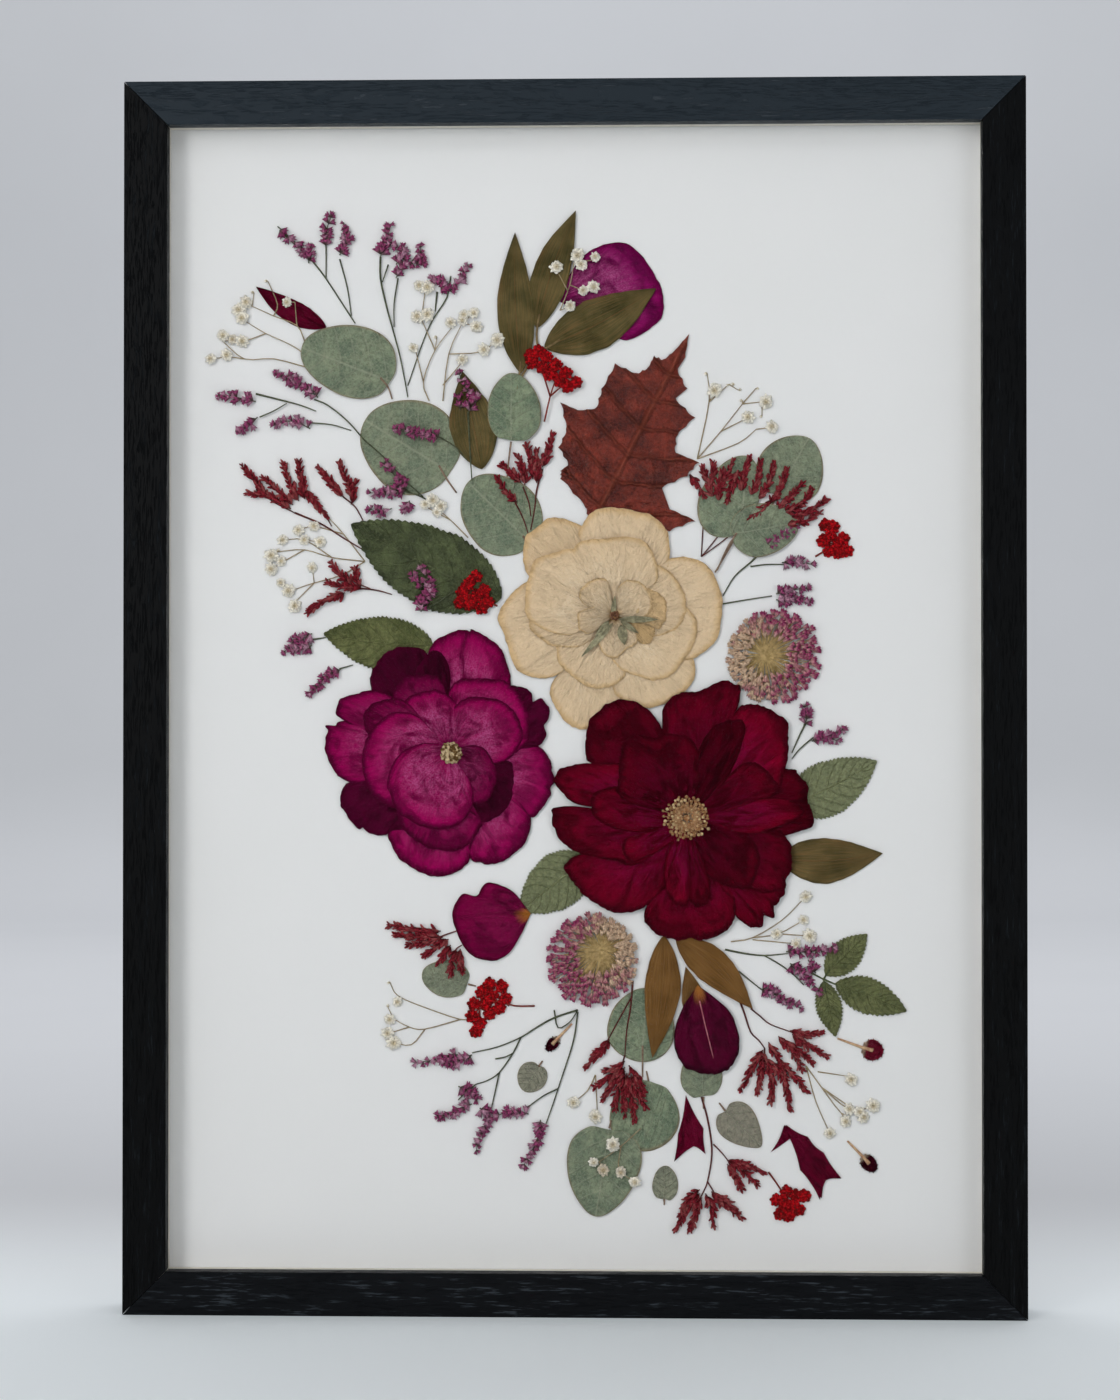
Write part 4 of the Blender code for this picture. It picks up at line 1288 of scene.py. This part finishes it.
def lay_rose_leaves():
    deep = leaf_finish("rose_leaf_deep", (0.038, 0.048, 0.020), (0.085, 0.105, 0.045), (0.14, 0.16, 0.08),
                       (0.05, 0.05, 0.03), veins=8, slope=2.2, relief=6.0, vein_share=0.35)
    green = leaf_finish("rose_leaf_green", (0.070, 0.082, 0.024), (0.13, 0.14, 0.052), (0.20, 0.21, 0.09),
                        (0.19, 0.21, 0.115), veins=8, slope=2.2, relief=5.0, vein_share=0.4)
    stalks = stem_finish("leaf_stalk", (0.05, 0.07, 0.03), (0.11, 0.13, 0.06))
    for number, (base, tip, width, layer, bend, tone) in enumerate(ROSE_LEAVES, start=1):
        name = f"rose_leaf_{number}"
        blade(name, base, tip, width, LOWEST + LAYER * layer, deep if number == 1 else green, "rose_leaf",
              (name,), seed=number + 30, belly=0.82, fullness=0.72, teeth=26, bend=bend, tone=tone)
    for number, (base, tip, width) in enumerate(LEAFLETS, start=1):
        nodes = ("rose_leaf_sprig",) if number == 1 else ()
        blade(f"leaflet_{number}", base, tip, width, LOWEST, green, "rose_leaf", nodes, seed=number + 41,
              belly=0.85, fullness=0.75, teeth=16, tone=0.15)
    sprig = Sprig()
    for route in LEAFLET_STALKS:
        sprig.stalk(pairs(*route), 0.5, 0.4, LOWEST)
    sprig.lay("leaflet_stalks", (stalks,), "rose_leaf")


def lay_ruscus():
    olive = ruscus_finish("ruscus_olive", (0.045, 0.042, 0.012), (0.125, 0.098, 0.036), (0.20, 0.09, 0.035))
    brown = ruscus_finish("ruscus_brown", (0.115, 0.052, 0.011), (0.185, 0.090, 0.024), (0.24, 0.13, 0.05))
    olive_leaves = 2
    for number, (base, tip, width, layer, bend, tone) in enumerate(RUSCUS_LEAVES, start=1):
        name = f"ruscus_leaf_{number}"
        finish = olive if number <= olive_leaves else brown
        blade(name, base, tip, width, LOWEST + LAYER * layer, finish, "ruscus", (name,), seed=number + 50,
              bend=bend, tone=tone, fullness=0.95, keel=0.1)
    for number, (base, tip, width, bend) in enumerate(RUSCUS_SPRIG, start=1):
        nodes = ("ruscus_sprig",) if number == 1 else ()
        blade(f"ruscus_sprig_leaf_{number}", base, tip, width, 1.4, olive, "ruscus", nodes,
              seed=number + 61, bend=bend, fullness=0.95, keel=0.1)
    sprig = Sprig()
    for route in RUSCUS_STALKS:
        sprig.stalk(pairs(*route), 0.7, 0.5, 1.5)
    bark = stem_finish("ruscus_stalk", (0.14, 0.09, 0.04), (0.24, 0.17, 0.08))
    sprig.lay("ruscus_stalks", (bark,), "ruscus")


def lay_red_leaf():
    finish = leaf_finish("red_leaf", (0.065, 0.005, 0.003), (0.21, 0.024, 0.012), (0.34, 0.07, 0.035),
                         (0.16, 0.06, 0.05), veins=6, slope=1.3, rough=0.36, relief=9.0, patch=70,
                         vein_share=0.55, gloss=0.4, ribbed=0.35)
    spine = ((17, 416), (54, 488))
    patch("red_leaf", RED_LEAF, spine, 0.9, finish, "maple", ("red_maple_leaf",), 71, sharp=True, curl=0.9,
          fold=0.15, rows=24, per_edge=8, lean=0.18, bites=2)


# --- petals ------------------------------------------------------------------------------------


def lay_rose(kind, rows, finish, seed, heart, crumple=0.05, crumpled=None, **folds):
    """Lays a rose's petals from the lowest up. The first one stands in for the rose's CAD node."""
    for number, (x, y, height, tone, rim) in enumerate(rows, start=1):
        folded = (crumpled or {}).get(number, crumple)
        petal(f"{kind}_petal_{number:02d}", (x, y), pairs(*rim), height, tone, finish, f"{kind}_petal",
              (f"rose_{kind}",) if number == 1 else (), seed + number, crumple=folded, heart=heart, **folds)


def lay_magenta_rose():
    """A cupped rose with a small seedy hip in its middle."""
    finish = petal_finish("magenta_petal", (0.050, 0.0008, 0.013), (0.26, 0.001, 0.070),
                          (0.56, 0.12, 0.31), (0.060, 0.0006, 0.016), bloom=0.9)
    lay_rose("magenta", MAGENTA_ROSE, finish, 101, (-63, 285), ragged=0.7)
    hip = Sprig()
    rng = random.Random(11)
    knob = tiny_dome()
    for spot, reach in spiral((-62.5, 284), 5.2, 70):
        size = 0.65 + 0.35 * rng.random()
        hip.add(knob, at(*spot, 5.3 - 0.03 * reach**2, rng.random() * 6, 0, 0, size), rng.random())
    seed = spray_finish("rose_hip", (0.10, 0.05, 0.015), (0.42, 0.29, 0.13), (0.55, 0.43, 0.26))
    hip.lay("rose_hip", (seed, seed), "magenta_petal")


def lay_crimson_rose():
    """An open rose with a disc of stamens, whose filaments show only away from the middle."""
    filaments_from, big_from = 5, 6
    finish = petal_finish("crimson_petal", (0.066, 0.0004, 0.006), (0.215, 0.0006, 0.017),
                          (0.36, 0.010, 0.13), (0.060, 0.0005, 0.006), relief=14.0, bloom=0.55, rayed=0.3)
    centre = Vector((57.5, 251))
    crumpled = {6: 0.11, 8: 0.275, 10: 0.165, 13: 0.385, 14: 0.55, 15: 0.165, 18: 0.275}
    lay_rose("crimson", CRIMSON_ROSE, finish, 141, centre, 0.11, crumpled, pleat=0.4, ragged=1.0)
    stamens = Sprig()
    rng = random.Random(5)
    tan = spray_finish("stamen", (0.30, 0.14, 0.06), (0.52, 0.30, 0.16), (0.62, 0.45, 0.25))
    filament = stem_finish("filament", (0.30, 0.15, 0.07), (0.45, 0.27, 0.14))
    knob = tiny_dome()
    stamens.add(knob, at(*centre, 4.6, 0, 0, 0, 1.8), 0.1)
    for spot, reach in spiral(centre, 12.0, 120, GOLDEN_ANGLE):
        stretch = rng.uniform(0.88, 1.05)
        spot = centre + (Vector(spot) - centre) * stretch
        reach *= stretch
        near = centre + (spot - centre) * 0.35
        height = 5.6 + rng.uniform(-0.15, 0.3) - 0.004 * reach**2
        if reach > filaments_from:
            stamens.stalk((near, near.lerp(spot, 0.5), spot), 0.2, 0.16, 5.4, height)
        size = rng.uniform(0.65, 0.95) if reach > big_from else rng.uniform(0.4, 0.7)
        stamens.add(knob, at(*spot, height, rng.random() * 6, 0, 0, size), rng.random() * 0.8)
    stamens.lay("crimson_stamens", (filament, tan), "crimson_petal")


def lay_beige_rose():
    """A cream rose with crumpled inner petals, a dark heart and six withered sepals."""
    finish = petal_finish("beige_petal", (0.62, 0.41, 0.20), (0.75, 0.56, 0.36), (0.86, 0.74, 0.56),
                          (0.66, 0.44, 0.22), streaks=60, rough=0.75, heart=(0.55, 0.30, 0.10), rayed=0.15,
                          clouded=0.12)
    crumpled = {12: 0.21, 13: 0.24, 14: 0.24, 15: 0.24, 16: 0.36, 17: 0.36, 18: 0.36}
    lay_rose("beige", BEIGE_ROSE, finish, 181, (21, 354), 0.06, crumpled, pleat=0.16, curl=0.35)
    green = leaf_finish("sepal", (0.20, 0.18, 0.10), (0.40, 0.37, 0.23), (0.52, 0.47, 0.32), (0.2, 0.2, 0.15),
                        relief=4.0)
    for number, (base, tip, width) in enumerate(SEPALS, start=1):
        blade(f"sepal_{number}", base, tip, width, 4.7, green, "beige_petal", seed=number + 85, curl=0.4)
    heart = Sprig()
    rng = random.Random(8)
    knob = tiny_dome()
    for spot, _ in spiral((21, 354), 2.1, 26):
        heart.add(knob, at(*spot, 4.9, rng.random() * 6, 0, 0, 0.5 + 0.3 * rng.random()), rng.random() * 0.5)
    dark = spray_finish("beige_heart", (0.12, 0.05, 0.03), (0.28, 0.14, 0.06), (0.45, 0.27, 0.10))
    heart.lay("beige_rose_heart", (dark, dark), "beige_petal")


def lay_loose_petals():
    """Single petals, the dark one with a pale streak, and two torn pieces."""
    bright = petal_finish("loose_magenta", (0.12, 0.001, 0.045), (0.19, 0.003, 0.08), (0.44, 0.12, 0.27),
                          (0.12, 0.001, 0.045), relief=4.0, bloom=0.8, rayed=0.7)
    petal("loose_magenta_petal", (-9, 516), LOOSE_MAGENTA[::-1], LOWEST, 0.7, bright, "magenta_petal",
          ("petal_magenta",), seed=201, curl=0.4, pleat=0.12)
    red = petal_finish("loose_red", (0.055, 0.0006, 0.008), (0.13, 0.0012, 0.018), (0.20, 0.012, 0.05),
                       (0.08, 0.0008, 0.008))
    blade("lance_petal", (-127, 502), (-163, 523), 12, LOWEST, red, "crimson_petal", ("petal_lance",),
          seed=203, tone=0.5, bend=0.04)
    rayed = petal_finish("rayed_burgundy", (0.07, 0.0006, 0.016), (0.165, 0.001, 0.040), (0.26, 0.02, 0.09),
                         (0.06, 0.0006, 0.012), heart=(0.60, 0.22, 0.03))
    petal("loose_burgundy_petal", (-22, 202), LOOSE_BURGUNDY[::-1], 1.4, 0.5, rayed, "crimson_petal",
          ("petal_burgundy",), seed=205, pleat=0.12)
    dark = petal_finish("tulip_dark", (0.022, 0.0006, 0.006), (0.085, 0.001, 0.019), (0.16, 0.010, 0.05),
                        (0.022, 0.0006, 0.006), heart=(0.65, 0.25, 0.05), relief=4.0)
    petal("dark_petal", (63, 166), DARK_PETAL, 3.0, 0.4, dark, "dark_petal", ("petal_dark",), seed=207,
          pleat=0.1, curl=0.3, ragged=1.1)
    streak = Sprig()
    streak.stalk(((64, 158), (67, 145), (71, 129)), 0.36, 0.2, 3.2, 3.35)
    pink = stem_finish("streak", (0.30, 0.05, 0.08), (0.60, 0.25, 0.28))
    streak.lay("dark_petal_streak", (pink,), "dark_petal")
    patch("torn_petal_1", TORN_SMALL, ((58, 104), (61, 86)), LOWEST, red, "crimson_petal", seed=209,
          curl=0.5, tone=0.5, fold=0.2, sharp=True)
    patch("torn_petal_2", TORN_LARGE, ((108, 92), (125, 68)), LOWEST, red, "crimson_petal", seed=211,
          curl=0.5, tone=0.4, fold=0.2, sharp=True)


def lay_slips():
    """Three carnation petals, each a small head on a long claw."""
    slip = petal_finish("carnation_slip", (0.05, 0.001, 0.008), (0.18, 0.003, 0.02), (0.25, 0.05, 0.08),
                        (0.03, 0.001, 0.005), heart=(0.72, 0.55, 0.40))
    straw = stem_finish("slip_claw", (0.40, 0.20, 0.12), (0.62, 0.44, 0.26))
    claws = Sprig()
    for number, (name, foot, head, length, width, turn, tone) in enumerate(SLIPS):
        outline = egg(head, length, width, turn, seed=number + 5, points=14)
        near = Vector(head) - heading(turn) * length * 0.45
        far = Vector(head) + heading(turn) * length * 0.4
        patch(name, outline, (near, far), 0.7, slip, "crimson_petal", seed=number + 213, sharp=True, bites=2,
              tone=tone, curl=0.5, fold=0.2)
        claws.stalk((foot, near, head), 0.5, 1.1, 0.7, 0.9)
    claws.lay("slip_claws", (straw,), "crimson_petal")


# --- sprays ------------------------------------------------------------------------------------


def outwards(route, stalks):
    """The head's route, started from the end that joins a stalk."""
    ends = [Vector(point) for stalk in stalks for point in stalk]
    near = [min((Vector(route[end]) - spot).length for spot in ends) for end in (0, -1)]
    return route if near[0] <= near[1] else route[::-1]


def branch(seed, stalks, heads, lift, floret, pace, spreads, size):
    """A branched spray: florets stand in threes along each head, pace millimetres apart."""
    missing_share = 0.12
    look_ahead = 0.05
    rng = random.Random(seed)
    sprig = Sprig()
    stalks = [pairs(*route) for route in stalks]
    for number, route in enumerate(stalks):
        sprig.stalk(route, 0.55 if number == 0 else 0.42, 0.3, lift + 0.1 * number)
    for head in heads:
        route = outwards(pairs(*head), stalks)
        curve = through(route)
        length = sum((Vector(end) - Vector(start)).length for start, end in zip(route, route[1:]))
        sprig.stalk(route, 0.35, 0.2, lift + 0.3)
        steps = max(3, round(length / pace))
        for step in range(steps):
            share = (step + 0.5) / steps
            spot = curve(share)
            ahead = curve(min(share + look_ahead, 1)) - curve(max(share - look_ahead, 0))
            for side in (-1, 0, 1):
                if rng.random() < missing_share:
                    continue
                turn = math.atan2(ahead.y, ahead.x) + side * rng.uniform(*spreads) + rng.uniform(-0.15, 0.15)
                grown = size * rng.uniform(0.65, 1.1) * (1 - 0.35 * share)
                lean = 0.5 if side == 0 else rng.uniform(0.05, 0.35)
                height = lift + 0.5 + rng.uniform(0, 0.4)
                place = at(spot.x, spot.y, height, turn, lean, rng.random() * 6, grown)
                sprig.add(floret, place, rng.random() ** 2)
    return sprig


def lay_statice():
    """Papery purple cups on fine green stalks."""
    purple = spray_finish("statice_cup", (0.08, 0.06, 0.05), (0.40, 0.065, 0.20), (0.50, 0.26, 0.36))
    green = stem_finish("statice_stalk", (0.045, 0.055, 0.03), (0.11, 0.12, 0.07))
    cup = statice_cup()
    for name, (lift, stalks, heads) in STATICE.items():
        sprig = branch(name, stalks, heads, lift, cup, 2.7, (0.5, 1.4), 1.35)
        sprig.lay(name, (green, purple), "allium")


def lay_feathers():
    """Feathery dark red heads on fine red stalks."""
    wine = spray_finish("feather_head", (0.060, 0.004, 0.006), (0.22, 0.014, 0.024), (0.26, 0.06, 0.06))
    maroon = stem_finish("feather_stalk", (0.06, 0.012, 0.012), (0.13, 0.03, 0.025))
    scale = bract()
    for number, (lift, stalks, heads) in enumerate(FEATHERS, start=1):
        sprig = branch(f"burgundy_{number:02d}", stalks, heads, lift, scale, 1.2, (0.3, 0.65), 1.25)
        sprig.lay(f"feather_{number:02d}", (maroon, wine), "yarrow")


def lay_gypsophila():
    """Cream rosettes and buds on straw-thin stalks. One that no stalk reaches is joined to the nearest."""
    joined_within = 1.2
    cream = spray_finish("gypsophila", (0.56, 0.48, 0.33), (0.86, 0.82, 0.73), (0.40, 0.29, 0.16))
    straw = stem_finish("straw_stalk", (0.24, 0.18, 0.10), (0.42, 0.34, 0.22))
    rosette = cream_rosette()
    bud = small_bud()
    for number, (lift, stalks, flowers, buds) in enumerate(GYPSOPHILA, start=1):
        name = f"gypsophila_{number:02d}"
        rng = random.Random(name)
        sprig = Sprig()
        joints = []
        for route in stalks:
            sprig.stalk(pairs(*route), 0.34, 0.22, lift)
            joints += [Vector(point) for point in pairs(*route)]
        for place in pairs(*flowers, *buds):
            spot = Vector(place)
            near = min(joints, key=lambda joint: (joint - spot).length)
            if (near - spot).length > joined_within:
                sprig.stalk((near, near.lerp(spot, 0.5), spot), 0.26, 0.2, lift)
        for x, y in pairs(*flowers):
            turn, roll, size = rng.random() * 6, rng.uniform(-0.25, 0.25), rng.uniform(1.0, 1.55)
            sprig.add(rosette, at(x, y, lift + 0.25, turn, 0, roll, size), 0.6 * rng.random() ** 4)
        for x, y in pairs(*buds):
            turn, size = rng.random() * 6, rng.uniform(0.9, 1.3)
            sprig.add(bud, at(x, y, lift + 0.4, turn, 0, 0, size), 0.3)
        sprig.lay(name, (straw, cream), "allium")


def lay_yarrow():
    """Flat-topped red clusters of crinkled knobs."""
    red = spray_finish("yarrow", (0.20, 0.001, 0.003), (0.50, 0.003, 0.008), (0.12, 0.003, 0.003))
    wine = stem_finish("yarrow_stalk", (0.12, 0.012, 0.010), (0.24, 0.04, 0.025))
    knob = tiny_dome()
    for number, (lift, stalks, knobs) in enumerate(YARROW, start=1):
        name = f"yarrow_{number}"
        rng = random.Random(name)
        sprig = Sprig()
        foot = Vector(pairs(*stalks[0])[-1])
        for route in stalks:
            sprig.stalk(pairs(*route), 0.5, 0.35, lift + 0.2)
        for centre in pairs(*knobs):
            sprig.stalk((foot, foot.lerp(Vector(centre), 0.6), centre), 0.4, 0.3, lift + 0.3)
            for spot, reach in spiral(centre, 3.1, 22, first=0):
                height = lift + 1.1 - 0.08 * reach**2 + rng.uniform(-0.15, 0.2)
                place = at(*spot, height, rng.random() * 6, rng.random(), 0, rng.uniform(0.75, 1.15))
                sprig.add(knob, place, rng.random() ** 2)
        sprig.lay(name, (wine, red), "yarrow", (name,))


def lay_alliums():
    """Pressed globes of star florets, straw in the middle and purple on one side."""
    star = star_floret()
    pink = spray_finish("allium_floret", (0.56, 0.32, 0.30), (0.27, 0.010, 0.10), (0.60, 0.43, 0.30))
    straw = stem_finish("allium_stalk", (0.26, 0.18, 0.07), (0.50, 0.36, 0.17))
    count = 230
    bare_middle = 0.16
    for name, centre, radius, middle, purple_side, lift in ALLIUMS:
        rng = random.Random(name)
        sprig = Sprig()
        core = Vector(middle)
        for number in range(count):
            turn = number * GOLDEN_ANGLE + rng.uniform(-0.1, 0.1)
            share = math.sqrt(bare_middle + (1 - bare_middle) * (number + 0.5) / count)
            rim = Vector(centre) + Vector((math.cos(turn), math.sin(turn))) * radius
            spot = core + (rim - core) * (share * 0.86)
            foot = core + (spot - core) * 0.08 * rng.uniform(0, 1.5)
            height = lift + 2.0 * (1 - share) ** 0.8 + rng.uniform(0, 0.4)
            sprig.stalk((foot, foot.lerp(spot, 0.5), spot), 0.26, 0.2, lift + 0.8, height)
            bearing = math.atan2(spot.y - core.y, spot.x - core.x) + rng.uniform(-0.3, 0.3)
            facing = math.cos(bearing - purple_side)
            tone = min(max(0.45 + 0.5 * facing + rng.uniform(-0.25, 0.25) + 0.5 * (share - 0.7), 0), 1)
            lean, roll, size = rng.uniform(0.05, 0.5), rng.random(), rng.uniform(0.75, 1.1)
            sprig.add(star, at(spot.x, spot.y, height, bearing, lean, roll, size), 1 - tone)
        sprig.lay(name + "_head", (straw, pink), "allium", (name,))


# --- studio ------------------------------------------------------------------------------------

# name, place, target, size, watts, colour
LAMPS = (
    ("key", (-0.98, -1.9, 0.75), (0, 0, 0.35), 0.6, 6.9, (1.0, 0.99, 0.975)),
    ("fill", (0.95, -1.9, 0.4), (0, 0, 0.3), 0.7, 2.4, (0.97, 0.985, 1.0)),
    ("high", (-0.2, -1.9, 1.5), (0, 0, 0.3), 0.7, 3.0, (1.0, 1.0, 1.0)),
    ("backdrop", (0.0, 1.1, 3.2), (0, 3.9, 1.3), 2.5, 66.0, (0.97, 0.98, 1.0)),
)


def lay_sweep():
    """A flat floor that turns up into a wall behind the frame, in metres."""
    turns_at = 3.0
    radius = 1.2
    place = Matrix.Translation((0, 1, 0)) @ Matrix.Diagonal((12, 9, 1, 1))
    bm = bmesh.new()
    bmesh.ops.create_grid(bm, x_segments=8, y_segments=160, size=1.0, matrix=place)
    for vert in bm.verts:
        over = vert.co.y - turns_at
        if over > 0:
            angle = min(over / radius, math.pi / 2)
            rest = max(over - radius * math.pi / 2, 0)
            vert.co.y = turns_at + radius * math.sin(angle)
            vert.co.z = radius * (1 - math.cos(angle)) + rest
    as_object("sweep", bm, (studio_sweep(),))


def studio():
    """Soft lamps, a pale room and the camera."""
    scene = bpy.context.scene
    lens = bpy.data.cameras.new("camera")
    lens.lens = 74.0
    lens.sensor_width = 36.0
    camera = bpy.data.objects.new("camera", lens)
    scene.collection.objects.link(camera)
    aim_at(camera, (0.040, -1.466, 0.295), (-0.007, 0, 0.311))
    scene.camera = camera
    for name, place, target, size, power, colour in LAMPS:
        lamp = bpy.data.lights.new(name, "AREA")
        lamp.shape = "SQUARE"
        lamp.size = size
        lamp.energy = power
        lamp.color = colour
        holder = bpy.data.objects.new(name, lamp)
        scene.collection.objects.link(holder)
        aim_at(holder, place, target)
    world = bpy.data.worlds.new("room")
    world.use_nodes = True
    background = world.node_tree.nodes["Background"]
    background.inputs["Color"].default_value = (0.95, 0.975, 1.0, 1)
    background.inputs["Strength"].default_value = 0.40
    scene.world = world
    scene.view_settings.view_transform = "Standard"


def aim_at(thing, place, target):
    thing.location = place
    thing.rotation_euler = (Vector(target) - Vector(place)).to_track_quat("-Z", "Y").to_euler()


# --- everything --------------------------------------------------------------------------------


lay_sweep()
studio()
dress_frame()
drive_hanger_nails()
lay_eucalyptus()
lay_rose_leaves()
lay_ruscus()
lay_red_leaf()
lay_magenta_rose()
lay_crimson_rose()
lay_beige_rose()
lay_loose_petals()
lay_slips()
lay_statice()
lay_feathers()
lay_gypsophila()
lay_yarrow()
lay_alliums()

bpy.context.view_layer.update()
